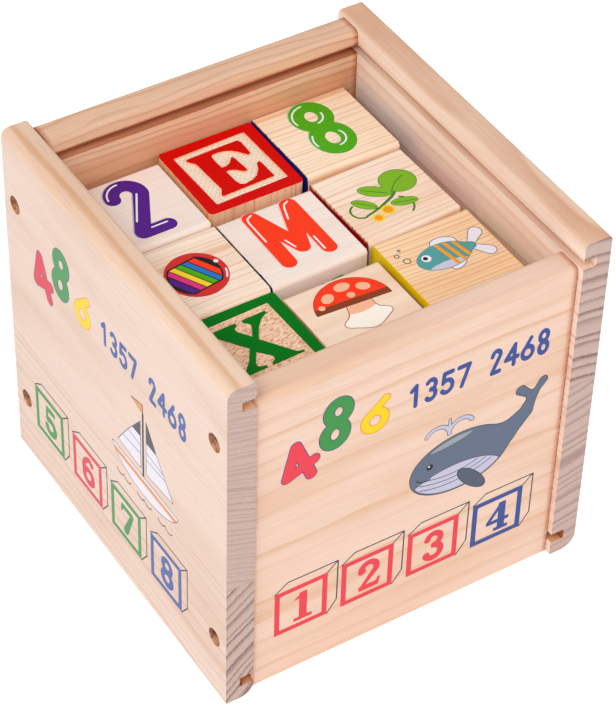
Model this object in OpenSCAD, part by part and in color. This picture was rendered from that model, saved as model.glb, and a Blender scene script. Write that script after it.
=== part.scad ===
// Open wooden box holding twenty-seven alphabet blocks, three layers of three by three.
// X runs to the right, Y to the back and Z up; the origin is the middle of the box's underside.
// Lengths are in millimetres.

/* [Blocks] */
// Side of a block of the middling size
block_side = 35; // [32:0.1:45]
// Rounding of a block's four edges along the grain
block_r = 1.9; // [0.8:0.1:2.5]
// Rounding of a block's edges at its sawn ends
block_end_r = 0.4; // [0.2:0.1:1.5]
// Depth of the ground round a raised letter
emboss_deep = 0.9; // [0.4:0.1:1.4]
// Width of the painted border round a raised letter
border_w = 3.9; // [3:0.1:5]
// Rounding of the border's inner corners
border_r = 0.5; // [0.2:0.1:1]
// Height of a raised letter
letter_h = 21.5; // [14:0.5:23]
// Turn of a raised letter and its ground against the block's edges, in degrees
letter_turn = 1.8; // [0:0.1:3]

/* [Box] */
// Room across the box that three blocks of the middling size leave
room_w = 10; // [5:0.1:20]
// Room along the box that three blocks of the middling size leave
room_d = 8.8; // [5:0.1:20]
// Height of the side walls' top over three layers of middling blocks
room_h = 21.2; // [14:0.1:60]
// Thickness of the four wall boards
board = 10; // [8.5:0.1:14]
// How far the side walls run past the front and back walls
end_lap = 2.2; // [0.5:0.1:4]
// How far the back wall's top lies under the side walls' top
back_drop = 0.9; // [0:0.1:3]
// How far the front wall's top lies under the lid groove's lower face
front_drop = 0.6; // [0:0.1:3]

/* [Lid grooves] */
// Wood left above the lid groove
lip_h = 6.3; // [4:0.1:9]
// Height of the lid groove
lid_groove_h = 3.4; // [2.5:0.1:5]
// Depth of the lid groove into the board
lid_groove_deep = 4.7; // [2.5:0.1:5.5]

/* [Bottom panel] */
// Wood left below the bottom groove
foot_h = 5.6; // [5.5:0.1:9]
// Height of the bottom groove
panel_groove_h = 3.9; // [3:0.1:6]
// Depth of the bottom groove into the board
panel_groove_deep = 4.2; // [2.5:0.1:5.5]
// Room left over the bottom panel in its groove
panel_play = 0.2; // [0.1:0.05:0.5]
// Room left between the bottom panel's edge and the groove's end
panel_end_play = 0.7; // [0.2:0.1:1.5]

/* [Board edges] */
// Rounding of the left wall's outer top edge
left_outer_top_r = 3.2; // [0.5:0.1:4]
// Rounding of the left wall's inner top edge
left_inner_top_r = 1.8; // [0.4:0.1:3]
// Rounding of the left wall's inner bottom edge
left_inner_foot_r = 5.3; // [1:0.1:5.5]
// Rounding of the right wall's outer top edge
right_outer_top_r = 1.6; // [0.4:0.1:4]
// Rounding of the right wall's inner top edge
right_inner_top_r = 1.6; // [0.4:0.1:3]
// Rounding of the right wall's outer bottom edge
right_outer_foot_r = 5.5; // [1:0.1:5.5]
// Rounding of the back and front walls' top edges
cross_top_r = 1.9; // [0.5:0.1:3]
// Small rounding of every other long edge of a board
edge_r = 0.4; // [0.2:0.05:0.5]

/* [Screws] */
// Height of the lower screws
screw_low_z = 25; // [18:0.5:40]
// How far the upper screws lie under the side walls' top
screw_drop = 25.6; // [18:0.1:50]
// Diameter of the hole that the screw head sinks in
sink_d = 6.4; // [6:0.1:8]
// Depth of the hole that the screw head sinks in
sink_deep = 5.4; // [4:0.1:6]
// Diameter of the screw head
head_d = 5.6; // [5:0.1:5.8]
// Height of the screw head
head_h = 2.2; // [1.5:0.1:3]
// Diameter of the screw shank
shank_d = 3.2; // [2.5:0.1:4]
// Length of the screw under its head
shank_l = 25; // [18:1:32]
// Room round the shank in both boards
shank_play = 0.15; // [0.1:0.05:0.4]
// Width of each arm of the cross recess
recess_w = 0.9; // [0.6:0.1:1.2]
// Length of each arm of the cross recess, tip to tip
recess_l = 3.3; // [2.5:0.1:4.5]
// Depth of the cross recess
recess_deep = 1.3; // [0.8:0.1:1.4]

/* [Hidden] */
$fn = 48;

// One overrun for every cut that leaves through a face
over = 1;
pine = "#e6c7a6";
pine_dark = "#d3a982";
pine_block = "#efd3ae";
steel = "#a98c5a";

// Bottom panel, lying on the lower faces of its grooves
panel_t = panel_groove_h - panel_play;
panel_reach = panel_groove_deep - panel_end_play;
panel_top = foot_h + panel_t;

// The box is made round its blocks: its inside, then its outside
line_count = 3;
line_l = line_count * block_side;
inner_w = line_l + room_w;
inner_d = line_l + room_d;
box_w = inner_w + 2 * board;
box_d = inner_d + 2 * (board + end_lap);
box_h = panel_top + line_l + room_h;

// Heights of the lid groove's lower face and of the back and front walls
lid_groove_z = box_h - lip_h - lid_groove_h;
back_h = box_h - back_drop;
front_h = lid_groove_z - front_drop;

// Screws run from the side walls into the middle of the front and back walls' ends
screw_y = box_d / 2 - end_lap - board / 2;
screw_high_z = box_h - screw_drop;
screw_places = [for (y = [-screw_y, screw_y]) for (z = [screw_low_z, screw_high_z]) [y, z]];

// Blocks: layer 0 is the lowest, row 0 the back one and column 0 the left one.
// A line of three stacks leaves some room between its two walls. Each row's shares of it are
// left of its first, second and third stack, and the rest is at the right wall.
gap_x_shares = [[0.24, 0.09, 0.036], [0.223, 0.042, 0.1], [0.241, 0.05, 0.145]];
// Each column's shares are behind its back, middle and front stack, the rest at the front wall.
gap_y_shares = [[0.305, 0.085, 0.098], [0.035, 0.31, 0.527], [0.042, 0.038, 0.127]];
// Turn of each stack about the vertical, in degrees
stack_turn = [[0, -0.4, 0.2], [0.3, 0.3, 1.1], [0, 0.3, 0]];
// Side of each block as a share of the middling side
side_shares = [
    [[0.990, 1.008, 1.007], [0.992, 0.990, 0.995], [0.991, 0.987, 1.002]],
    [[0.993, 1.007, 1.006], [0.991, 0.990, 0.994], [0.990, 0.989, 1.001]],
    [[0.994, 0.988, 1.007], [0.994, 0.991, 0.995], [0.989, 0.985, 1.003]]
];
// Letter of each block
letters = [
    [["Q", "R", "S"], ["U", "V", "W"], ["Y", "Z", "A"]],
    [["N", "O", "P"], ["J", "L", "I"], ["A", "D", "F"]],
    [["B", "E", "K"], ["T", "M", "G"], ["X", "H", "C"]]
];
// 1 where a block lies with its raised letter up, 0 where the letter faces the left wall
letter_up = [
    [[1, 0, 1], [0, 1, 0], [1, 0, 1]],
    [[0, 1, 0], [1, 0, 1], [0, 1, 0]],
    [[0, 1, 0], [0, 0, 0], [1, 0, 0]]
];

function side_of(k, r, c) = block_side * side_shares[k][r][c];
function under(k, r, c) = k == 0 ? 0 : under(k - 1, r, c) + side_of(k - 1, r, c);
// Room that a stack takes along X or Y, its largest block turned as the stack is
function extent(r, c) = max([for (k = [0 : 2]) side_of(k, r, c)])
    * (cos(stack_turn[r][c]) + abs(sin(stack_turn[r][c])));
function row_room(r) = inner_w - extent(r, 0) - extent(r, 1) - extent(r, 2);
function column_room(c) = inner_d - extent(0, c) - extent(1, c) - extent(2, c);
function left_of(r, c) = c < 0 ? -inner_w / 2
    : left_of(r, c - 1) + (c > 0 ? extent(r, c - 1) : 0) + row_room(r) * gap_x_shares[r][c];
function back_of(r, c) = r < 0 ? inner_d / 2
    : back_of(r - 1, c) - (r > 0 ? extent(r - 1, c) : 0) - column_room(c) * gap_y_shares[c][r];
function stack_x(r, c) = left_of(r, c) + extent(r, c) / 2;
function stack_y(r, c) = back_of(r, c) - extent(r, c) / 2;

// Strokes of the raised letters, as shares of the letter's height. A bar is
// [x1, y1, x2, y2, width]; an arc is [x, y, outer radius, width, start angle, end angle].
heavy_share = 0.2;
light_share = 0.12;
foot_share = 0.1;
line_share = 0.45;

// Strokes shared by several letters: a stem with a foot at each end
function foot(x, y, l = 0.17) = [x - l, y, x + l, y, foot_share];
function stem(x, w = heavy_share, l = 0.17) =
    [[x, -line_share, x, line_share, w], foot(x, -line_share, l), foot(x, line_share, l)];
function slab(x1, x2, y, w = foot_share) = [x1, y, x2, y, w];
// Short stroke that ends an arm
function tip(x, y, l) = [x, y, x, y + l, foot_share];

function bar_shares(s) =
    s == "A" ? [[-0.3, -0.45, 0.02, 0.5, light_share], [0.3, -0.45, -0.02, 0.5, heavy_share],
                slab(-0.2, 0.2, -0.14), foot(-0.31, -line_share, 0.15), foot(0.3, -line_share)] :
    s == "B" ? concat(stem(-0.2), [slab(-0.2, 0.1, 0.44, light_share), slab(-0.2, 0.1, 0.02),
                slab(-0.2, 0.12, -0.44, light_share)]) :
    s == "C" ? [tip(0.28, 0.14, 0.3), tip(0.28, -0.4, 0.16)] :
    s == "D" ? concat(stem(-0.22), [slab(-0.22, 0.02, 0.44, light_share),
                slab(-0.22, 0.02, -0.44, light_share)]) :
    s == "F" ? concat(stem(-0.18), [slab(-0.18, 0.31, 0.45), slab(-0.1, 0.16, 0.01),
                tip(0.29, 0.22, 0.28), tip(0.15, -0.1, 0.22)]) :
    s == "G" ? [tip(0.28, 0.16, 0.28), [0.22, -0.42, 0.22, 0, 0.16], foot(0.22, 0, 0.16)] :
    s == "H" ? concat(stem(-0.26, heavy_share, 0.15), stem(0.26, heavy_share, 0.15),
                [slab(-0.26, 0.26, 0)]) :
    s == "I" ? stem(0) :
    s == "J" ? [[0.1, -0.22, 0.1, line_share, heavy_share], foot(0.1, line_share)] :
    s == "K" ? concat(stem(-0.24, heavy_share, 0.15), [[-0.2, -0.06, 0.24, 0.42, light_share],
                [-0.04, 0.04, 0.28, -0.45, heavy_share], foot(0.27, line_share, 0.14),
                foot(0.3, -line_share, 0.15)]) :
    s == "L" ? concat(stem(-0.16), [slab(-0.16, 0.33, -0.45), tip(0.31, -0.5, 0.32)]) :
    s == "M" ? [[-0.3, -0.45, -0.3, 0.45, light_share], [0.3, -0.45, 0.3, 0.45, heavy_share],
                [-0.3, 0.45, 0, -0.3, heavy_share], [0.3, 0.42, 0.02, -0.3, light_share],
                foot(-0.32, -line_share, 0.13), foot(0.32, -line_share, 0.15),
                foot(-0.34, line_share, 0.11), foot(0.34, line_share, 0.13)] :
    s == "N" ? [[-0.26, -0.45, -0.26, 0.45, light_share], [0.26, -0.45, 0.26, 0.45, light_share],
                [-0.26, 0.45, 0.26, -0.45, heavy_share], foot(-0.27, -line_share, 0.14),
                foot(0.27, line_share, 0.14), foot(-0.32, line_share, 0.12)] :
    s == "P" ? concat(stem(-0.2), [slab(-0.2, 0.1, 0.44, light_share), slab(-0.2, 0.1, -0.03)]) :
    s == "Q" ? [[0.02, -0.16, 0.3, -0.48, 0.14]] :
    s == "R" ? concat(stem(-0.24, heavy_share, 0.15), [slab(-0.24, 0.04, 0.44, light_share),
                slab(-0.24, 0.04, -0.01), [0, 0, 0.26, -0.45, heavy_share],
                foot(0.3, -line_share, 0.13)]) :
    s == "S" ? [tip(0.25, 0.2, 0.26), tip(-0.25, -0.46, 0.26)] :
    s == "T" ? [[0, -line_share, 0, line_share, heavy_share], foot(0, -line_share),
                slab(-0.36, 0.36, 0.45), tip(-0.31, 0.22, 0.28), tip(0.31, 0.22, 0.28)] :
    s == "U" ? [[-0.24, -0.16, -0.24, 0.45, heavy_share], [0.26, -0.16, 0.26, 0.45, light_share],
                foot(-0.24, line_share, 0.15), foot(0.26, line_share, 0.13)] :
    s == "V" ? [[-0.28, 0.45, 0.03, -0.48, heavy_share], [0.28, 0.45, -0.02, -0.48, light_share],
                foot(-0.28, line_share, 0.16), foot(0.3, line_share, 0.13)] :
    s == "W" ? [[-0.32, 0.45, -0.13, -0.48, heavy_share], [0.02, 0.4, -0.15, -0.48, light_share],
                [0, 0.45, 0.19, -0.48, heavy_share], [0.36, 0.45, 0.17, -0.48, light_share],
                foot(-0.33, line_share, 0.13), foot(0, line_share, 0.12), foot(0.36, line_share, 0.1)] :
    s == "Y" ? [[-0.27, 0.45, 0, 0, heavy_share], [0.28, 0.45, 0.02, 0, light_share],
                [0.01, 0.04, 0.01, -0.45, heavy_share], foot(-0.28, line_share, 0.15),
                foot(0.29, line_share, 0.13), foot(0.01, -line_share)] :
    s == "Z" ? [slab(-0.3, 0.3, 0.45), slab(-0.3, 0.32, -0.45), [0.24, 0.45, -0.24, -0.45, heavy_share],
                tip(-0.25, 0.22, 0.28), tip(0.28, -0.5, 0.28)] : [];

function arc_shares(s) =
    s == "B" ? [[0.1, 0.23, 0.27, 0.16, -90, 90], [0.1, -0.22, 0.28, 0.17, -90, 90]] :
    s == "C" ? [[0.06, 0, 0.5, 0.17, 50, 310]] :
    s == "D" ? [[0, 0, 0.5, 0.19, -90, 90]] :
    s == "G" ? [[0.06, 0, 0.5, 0.17, 50, 300]] :
    s == "J" ? [[-0.06, -0.24, 0.26, 0.2, 180, 360]] :
    s == "O" ? [[0, 0, 0.5, 0.18, 0, 360]] :
    s == "P" ? [[0.1, 0.205, 0.295, 0.17, -90, 90]] :
    s == "Q" ? [[0, 0.02, 0.48, 0.18, 0, 360]] :
    s == "R" ? [[0.04, 0.215, 0.285, 0.17, -90, 90]] :
    s == "S" ? [[0, 0.22, 0.28, 0.16, 30, 270], [0, -0.22, 0.28, 0.16, -150, 90]] :
    s == "U" ? [[0.01, -0.18, 0.32, 0.15, 180, 360]] : [];

// Outline of a letter whose serifs run into its strokes in curves, clockwise, as shares of the
// letter's height
function outline_shares(s) =
    s == "E" ? [[-0.47, 0.495], [0.43, 0.495], [0.455, 0.43], [0.44, 0.15], [0.415, 0.125],
                [0.37, 0.16], [0.295, 0.27], [0.235, 0.33], [0.16, 0.373], [0.045, 0.405],
                [-0.06, 0.409], [-0.105, 0.37], [-0.12, 0.236], [-0.11, 0.068], [-0.045, 0.06],
                [0.036, 0.092], [0.086, 0.143], [0.136, 0.199], [0.165, 0.185], [0.19, -0.16],
                [0.17, -0.178], [0.115, -0.149], [0.031, -0.069], [-0.04, -0.032], [-0.108, -0.04],
                [-0.103, -0.307], [-0.081, -0.395], [-0.02, -0.436], [0.06, -0.425], [0.136, -0.408],
                [0.234, -0.357], [0.335, -0.244], [0.395, -0.11], [0.44, -0.095], [0.457, -0.15],
                [0.455, -0.495], [-0.43, -0.495], [-0.445, -0.46], [-0.37, -0.34], [-0.378, -0.16],
                [-0.386, 0.33], [-0.4, 0.36], [-0.475, 0.455]] :
    s == "X" ? [[-0.5, 0.495], [0.005, 0.495], [-0.006, 0.442], [-0.065, 0.4], [-0.074, 0.338],
                [0.061, 0.134], [0.152, 0.293], [0.178, 0.351], [0.163, 0.396], [0.112, 0.44],
                [0.112, 0.495], [0.49, 0.495], [0.506, 0.455], [0.44, 0.425], [0.376, 0.386],
                [0.258, 0.27], [0.108, 0.046], [0.399, -0.41], [0.436, -0.449], [0.514, -0.461],
                [0.525, -0.485], [0.5, -0.495], [0, -0.495], [0.006, -0.455], [0.088, -0.4],
                [0.094, -0.335], [-0.061, -0.146], [-0.207, -0.368], [-0.199, -0.416],
                [-0.145, -0.443], [-0.091, -0.452], [-0.092, -0.495], [-0.49, -0.495],
                [-0.506, -0.455], [-0.44, -0.425], [-0.376, -0.386], [-0.258, -0.27],
                [-0.103, -0.046], [-0.399, 0.41], [-0.436, 0.449], [-0.514, 0.461],
                [-0.525, 0.485]] : [];

// Straight stroke of a letter, its ends square
module bar_2d(b) {
    run = [b[2] - b[0], b[3] - b[1]];
    translate([b[0], b[1]] * letter_h)
        rotate(atan2(run[1], run[0]))
            translate([0, -b[4] * letter_h / 2])
                square([norm(run), b[4]] * letter_h);
}

// Curved stroke of a letter: a ring, or the part of it between two angles
module arc_2d(a) {
    turn = a[5] - a[4];
    reach = 2 * a[2] * letter_h;
    steps = ceil(turn / 60);
    translate([a[0], a[1]] * letter_h)
        intersection() {
            difference() {
                circle(r = a[2] * letter_h);
                circle(r = (a[2] - a[3]) * letter_h);
            }
            if (turn < 360)
                polygon(concat([[0, 0]], [for (i = [0 : steps])
                    reach * [cos(a[4] + turn * i / steps), sin(a[4] + turn * i / steps)]]));
        }
}

module letter_2d(s) {
    for (b = bar_shares(s)) bar_2d(b);
    for (a = arc_shares(s)) arc_2d(a);
    if (outline_shares(s) != []) polygon(outline_shares(s) * letter_h);
}

// Square with its four corners rounded
module round_square(side, r) {
    difference() {
        square(side, center = true);
        for (i = [0, 1]) for (j = [0, 1])
            mirror([i, 0]) mirror([0, j])
                translate([side / 2 - r, side / 2 - r])
                    difference() {
                        square(r + over);
                        circle(r = r);
                    }
    }
}

// Ground cut round a raised letter, from the face down
module emboss(side, s) {
    translate([0, 0, side / 2 - emboss_deep])
        linear_extrude(emboss_deep + over)
            rotate(letter_turn)
                difference() {
                    round_square(side - 2 * border_w, border_r);
                    letter_2d(s);
                }
}

// A block about its own centre, its raised letter on top and again underneath: a length sawn
// from a stick with round edges, its grain upright
module block_body(side, s) {
    difference() {
        intersection() {
            linear_extrude(side, center = true) round_square(side, block_r);
            rotate([90, 0, 0])
                linear_extrude(side, center = true) round_square(side, block_end_r);
            rotate([0, 90, 0])
                linear_extrude(side, center = true) round_square(side, block_end_r);
        }
        emboss(side, s);
        rotate([0, 180, 0]) emboss(side, s);
    }
}

// One block of the set at its place: layer k, row r, column c
module block(k, r, c) {
    side = side_of(k, r, c);
    color(pine_block)
        translate([stack_x(r, c), stack_y(r, c), panel_top + under(k, r, c) + side / 2])
            rotate(stack_turn[r][c])
                rotate(letter_up[k][r][c] == 1 ? [0, 0, 0] : [90, 0, -90])
                    block_body(side, letters[k][r][c]);
}

// Takes the corner off an outline: the corner is at [0, 0] with the wood on its +x, +y side
module corner_cut(r) {
    difference() {
        translate([-over, -over]) square(r + over);
        translate([r, r]) circle(r = r);
    }
}

// Outline of a grooved board: x runs from its inner face (0) to its outer face, y is up.
module board_outline(h, inner_top, outer_top, outer_foot, inner_foot, lid_groove) {
    difference() {
        square([board, h]);
        corner_cut(inner_foot);
        translate([board, 0]) mirror([1, 0]) corner_cut(outer_foot);
        translate([0, h]) mirror([0, 1]) corner_cut(inner_top);
        translate([board, h]) mirror([1, 0]) mirror([0, 1]) corner_cut(outer_top);
        translate([-over, foot_h]) square([panel_groove_deep + over, panel_groove_h]);
        if (lid_groove)
            translate([-over, lid_groove_z]) square([lid_groove_deep + over, lid_groove_h]);
    }
}

// Holes for the four screws of the right side: sunk hole, then the shank's hole
module screw_holes() {
    for (p = screw_places) translate([inner_w / 2, p[0], p[1]]) {
        translate([-shank_l, 0, 0])
            rotate([0, 90, 0]) cylinder(d = shank_d + 2 * shank_play, h = shank_l + board);
        translate([board - sink_deep, 0, 0])
            rotate([0, 90, 0]) cylinder(d = sink_d, h = sink_deep + over);
    }
}

// One screw along X, its head's underside at x = 0 and its tip towards -X
module screw() {
    rotate([0, 90, 0]) {
        difference() {
            cylinder(d = head_d, h = head_h);
            translate([0, 0, head_h - recess_deep]) {
                translate([-recess_l / 2, -recess_w / 2, 0])
                    cube([recess_l, recess_w, recess_deep + over]);
                translate([-recess_w / 2, -recess_l / 2, 0])
                    cube([recess_w, recess_l, recess_deep + over]);
            }
        }
        translate([0, 0, -shank_l + shank_d]) cylinder(d = shank_d, h = shank_l - shank_d);
        translate([0, 0, -shank_l]) cylinder(d1 = 0, d2 = shank_d, h = shank_d);
    }
}

module screw_set() {
    for (p = screw_places)
        translate([box_w / 2 - sink_deep, p[0], p[1]]) screw();
}

module right_wall() {
    color(pine)
        difference() {
            translate([inner_w / 2, box_d / 2, 0])
                rotate([90, 0, 0])
                    linear_extrude(box_d)
                        board_outline(box_h, right_inner_top_r, right_outer_top_r,
                                      right_outer_foot_r, edge_r, true);
            screw_holes();
        }
}

module left_wall() {
    color(pine)
        mirror([1, 0, 0])
            difference() {
                translate([inner_w / 2, box_d / 2, 0])
                    rotate([90, 0, 0])
                        linear_extrude(box_d)
                            board_outline(box_h, left_inner_top_r, left_outer_top_r,
                                          edge_r, left_inner_foot_r, true);
                screw_holes();
            }
}

// A wall between the side walls, its inner face at y = inner_d / 2
module cross_wall(h, lid_groove) {
    difference() {
        translate([-inner_w / 2, inner_d / 2, 0])
            rotate([90, 0, 90])
                linear_extrude(inner_w)
                    board_outline(h, cross_top_r, cross_top_r, edge_r, edge_r, lid_groove);
        screw_holes();
        mirror([1, 0, 0]) screw_holes();
    }
}

module back_wall() {
    color(pine_dark) cross_wall(back_h, true);
}

module front_wall() {
    color(pine_dark) mirror([0, 1, 0]) cross_wall(front_h, false);
}

module bottom_panel() {
    color(pine)
        translate([-inner_w / 2 - panel_reach, -inner_d / 2 - panel_reach, foot_h])
            cube([inner_w + 2 * panel_reach, inner_d + 2 * panel_reach, panel_t]);
}

module right_screws() {
    color(steel) screw_set();
}

module left_screws() {
    color(steel) mirror([1, 0, 0]) screw_set();
}

module block_low_back_left() block(0, 0, 0);
module block_low_back_centre() block(0, 0, 1);
module block_low_back_right() block(0, 0, 2);
module block_low_middle_left() block(0, 1, 0);
module block_low_middle_centre() block(0, 1, 1);
module block_low_middle_right() block(0, 1, 2);
module block_low_front_left() block(0, 2, 0);
module block_low_front_centre() block(0, 2, 1);
module block_low_front_right() block(0, 2, 2);
module block_mid_back_left() block(1, 0, 0);
module block_mid_back_centre() block(1, 0, 1);
module block_mid_back_right() block(1, 0, 2);
module block_mid_middle_left() block(1, 1, 0);
module block_mid_middle_centre() block(1, 1, 1);
module block_mid_middle_right() block(1, 1, 2);
module block_mid_front_left() block(1, 2, 0);
module block_mid_front_centre() block(1, 2, 1);
module block_mid_front_right() block(1, 2, 2);
module block_top_back_left() block(2, 0, 0);
module block_top_back_centre() block(2, 0, 1);
module block_top_back_right() block(2, 0, 2);
module block_top_middle_left() block(2, 1, 0);
module block_top_middle_centre() block(2, 1, 1);
module block_top_middle_right() block(2, 1, 2);
module block_top_front_left() block(2, 2, 0);
module block_top_front_centre() block(2, 2, 1);
module block_top_front_right() block(2, 2, 2);

left_wall();
right_wall();
front_wall();
back_wall();
bottom_panel();
left_screws();
right_screws();
block_low_back_left();
block_low_back_centre();
block_low_back_right();
block_low_middle_left();
block_low_middle_centre();
block_low_middle_right();
block_low_front_left();
block_low_front_centre();
block_low_front_right();
block_mid_back_left();
block_mid_back_centre();
block_mid_back_right();
block_mid_middle_left();
block_mid_middle_centre();
block_mid_middle_right();
block_mid_front_left();
block_mid_front_centre();
block_mid_front_right();
block_top_back_left();
block_top_back_centre();
block_top_back_right();
block_top_middle_left();
block_top_middle_centre();
block_top_middle_right();
block_top_front_left();
block_top_front_centre();
block_top_front_right();
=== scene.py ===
# %% [markdown]
# A pine box of alphabet blocks.
# The frame below holds every solid at its real size: four boards, a bottom panel, screws and
# twenty-seven blocks. This lesson gives them their looks: planed pine with its rings and end
# grain, enamel on the raised letters, and thin films of printing ink on the flat faces.
# A solid is never moved here. Paint is worked out from its place, and ink is a new thin mesh.

# %% The fixed frame
import math

import bpy
import numpy as np
from mathutils import Euler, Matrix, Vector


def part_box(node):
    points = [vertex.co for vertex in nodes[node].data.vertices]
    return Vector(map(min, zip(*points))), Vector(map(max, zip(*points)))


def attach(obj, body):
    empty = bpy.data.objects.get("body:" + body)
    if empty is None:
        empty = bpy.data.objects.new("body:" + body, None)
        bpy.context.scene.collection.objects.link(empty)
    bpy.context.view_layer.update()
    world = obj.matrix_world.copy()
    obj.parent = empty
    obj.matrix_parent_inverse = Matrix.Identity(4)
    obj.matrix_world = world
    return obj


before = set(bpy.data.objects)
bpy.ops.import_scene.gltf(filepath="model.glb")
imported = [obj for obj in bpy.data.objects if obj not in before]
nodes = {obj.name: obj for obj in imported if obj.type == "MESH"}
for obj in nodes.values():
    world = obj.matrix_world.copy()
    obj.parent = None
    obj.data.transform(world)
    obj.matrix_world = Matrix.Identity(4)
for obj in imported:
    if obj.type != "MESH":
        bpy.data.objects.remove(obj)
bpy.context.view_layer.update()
MM = 0.001

# %% [markdown]
# The camera stands at the photograph's angle. A lens this long is usual for a product picture:
# it keeps the box's edges nearly parallel. The place and angles were fitted to the corners of
# the box, so that each corner falls where the photograph shows it.

# %% Camera
CAMERA_PLACE = (-0.35593, -0.54968, 0.67517)
CAMERA_TURN = (46.948, -1.317, -32.022)
SENSOR, LENS = 36, 141.09      # mm
camera_data = bpy.data.cameras.new("camera")
camera_data.sensor_fit = "VERTICAL"
camera_data.sensor_height = SENSOR
camera_data.lens = LENS
camera = bpy.data.objects.new("camera", camera_data)
camera.location = CAMERA_PLACE
camera.rotation_euler = Euler([math.radians(a) for a in CAMERA_TURN])
bpy.context.scene.collection.objects.link(camera)
bpy.context.scene.camera = camera
print("lens", camera_data.lens, "mm")


# %% [markdown]
# A node tree is easier to read as arithmetic than as a picture of wires. The little class below
# adds one node per call and hands back its output, so that a material reads from the top down.

# %% A helper for node trees
class Patch:
    """Adds nodes to one tree. An input is a value, another node's output, or None to leave it.
    A Mix node keeps the sockets of all its kinds in one list, so they are given by number: 2 and 3
    for numbers, 4 and 5 for vectors, 6 and 7 for colours."""

    def __init__(self, tree):
        self.tree = tree

    def node(self, kind, inputs=(), **settings):
        made = self.tree.nodes.new(kind if kind.startswith("Node") else "ShaderNode" + kind)
        for name, value in settings.items():
            setattr(made, name, value)
        return self.feed(made, inputs)

    def feed(self, made, inputs):
        """Sets a node's inputs, or links them where a value is another node's output."""
        pairs = inputs.items() if isinstance(inputs, dict) else enumerate(inputs)
        for key, value in pairs:
            if isinstance(value, bpy.types.NodeSocket):
                self.tree.links.new(value, made.inputs[key])
            elif value is not None:
                made.inputs[key].default_value = value
        return made

    def math(self, operation, *values):
        return self.node("Math", values, operation=operation).outputs[0]

    def times(self, a, b):
        return self.math("MULTIPLY", a, b)

    def scaled(self, value, factor, plus):
        """value * factor + plus"""
        return self.math("MULTIPLY_ADD", value, factor, plus)

    def swing(self, noise, width, middle):
        """A noise made to swing by a width about a middle: (noise - 0.5) * width + middle"""
        return self.scaled(self.math("SUBTRACT", noise, 0.5), width, middle)

    def vector(self, operation, *values):
        made = self.node("VectorMath", values, operation=operation)
        return made.outputs["Value" if operation in ("LENGTH", "DOT_PRODUCT") else "Vector"]

    def blend(self, factor, a, b, how="MIX"):
        """Colour a where factor is 0 and b where it is 1, mixed as how says in between."""
        made = self.node("Mix", {0: factor, 6: a, 7: b}, data_type="RGBA", blend_type=how)
        return made.outputs[2]

    def mix(self, factor, a, b):
        """Number a where factor is 0 and b where it is 1."""
        return self.node("Mix", {0: factor, 2: a, 3: b}).outputs[0]

    def choose(self, factor, a, b):
        """Vector a where factor is 0 and b where it is 1."""
        return self.node("Mix", {0: factor, 4: a, 5: b}, data_type="VECTOR").outputs[1]

    def step(self, value, low, high):
        """Smooth step: 0 at low and 1 at high. With low above high it falls instead."""
        span = (value, low, high, 0.0, 1.0)
        return self.node("MapRange", span, interpolation_type="SMOOTHSTEP").outputs[0]

    def between(self, value, low, high, soft):
        """1 where value lies between low and high, with edges as wide as soft."""
        rise = self.step(value, low - soft, low + soft)
        return self.times(rise, self.step(value, high + soft, high - soft))

    def noise(self, place, scales, detail=2.0, rough=0.5, output="Fac"):
        """Noise from 0 to 1 at a place stretched by three scales."""
        stretched = self.vector("MULTIPLY", place, scales)
        settings = {"Vector": stretched, "Scale": 1.0, "Detail": detail, "Roughness": rough}
        return self.node("TexNoise", settings).outputs[output]

    def stain(self, colour, amount, by):
        """A colour multiplied by another, as far as amount says."""
        return self.blend(amount, colour, by, "MULTIPLY")

    def tint(self, colour, amount):
        """A colour made lighter or darker by a grey factor."""
        return self.stain(colour, 1.0, self.node("CombineColor", (amount,) * 3).outputs[0])

    def bump(self, height, strength, distance=MM):
        """A normal from a height in steps of distance, in metres."""
        inputs = {"Strength": strength, "Distance": distance, "Height": height}
        return self.node("Bump", inputs).outputs[0]

    def millimetres(self):
        """A point's place in the shared frame, in mm."""
        return self.vector("MULTIPLY", self.node("TexCoord").outputs["Object"], (1 / MM,) * 3)


print("the helper can add", [m for m in vars(Patch) if not m.startswith("_")])

# %% [markdown]
# A node group is made once and placed in each material that needs it, with its own values. A
# colour is written as it is given, from 0 to 255, and made linear, since a shader adds
# and multiplies light and not the numbers of a picture.

# %% Groups, materials and colours
def new_group(name, inputs, outputs):
    """An empty node group with named sockets: its patch, what it is given and its output node."""
    group = bpy.data.node_groups.new(name, "ShaderNodeTree")
    for direction, sockets in (("INPUT", inputs), ("OUTPUT", outputs)):
        for socket, kind in sockets.items():
            group.interface.new_socket(socket, in_out=direction, socket_type="NodeSocket" + kind)
    patch = Patch(group)
    return patch, patch.node("NodeGroupInput").outputs, patch.node("NodeGroupOutput")


def new_material(name):
    """A material with its tree and its Principled shader."""
    material = bpy.data.materials.new(name)
    material.use_nodes = True
    return material, Patch(material.node_tree), material.node_tree.nodes["Principled BSDF"]


def tone(red, green, blue):
    """A colour given from 0 to 255, made linear as a shader wants it."""
    steps = np.array([red, green, blue]) / 255
    return (*np.where(steps < 0.04, steps / 12.92, ((steps + 0.055) / 1.055) ** 2.4), 1.0)


def palette(names, *colours):
    """Colours by name, from their values of 0 to 255."""
    return dict(zip(names.split(), (tone(*colour) for colour in colours)))


print("a grey picked as 128 is", round(tone(128, 128, 128)[0], 3), "in a shader")

# %% [markdown]
# Pine is a stack of cones round the pith, so a board's figure follows from one formula: the
# distance from the pith, divided by a year's growth. Early wood is pale and wide, late wood is
# a thin dark line that ends sharply. On a long face the rings are drawn out into lines and
# flames; on an end they are the rings themselves, with pores and a greyer colour. One group
# does both, so the lines on a face run into the rings of its end as they do on real wood.
# Noise is stretched by three scales, in turns per mm: few along the grain and more across it.

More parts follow.
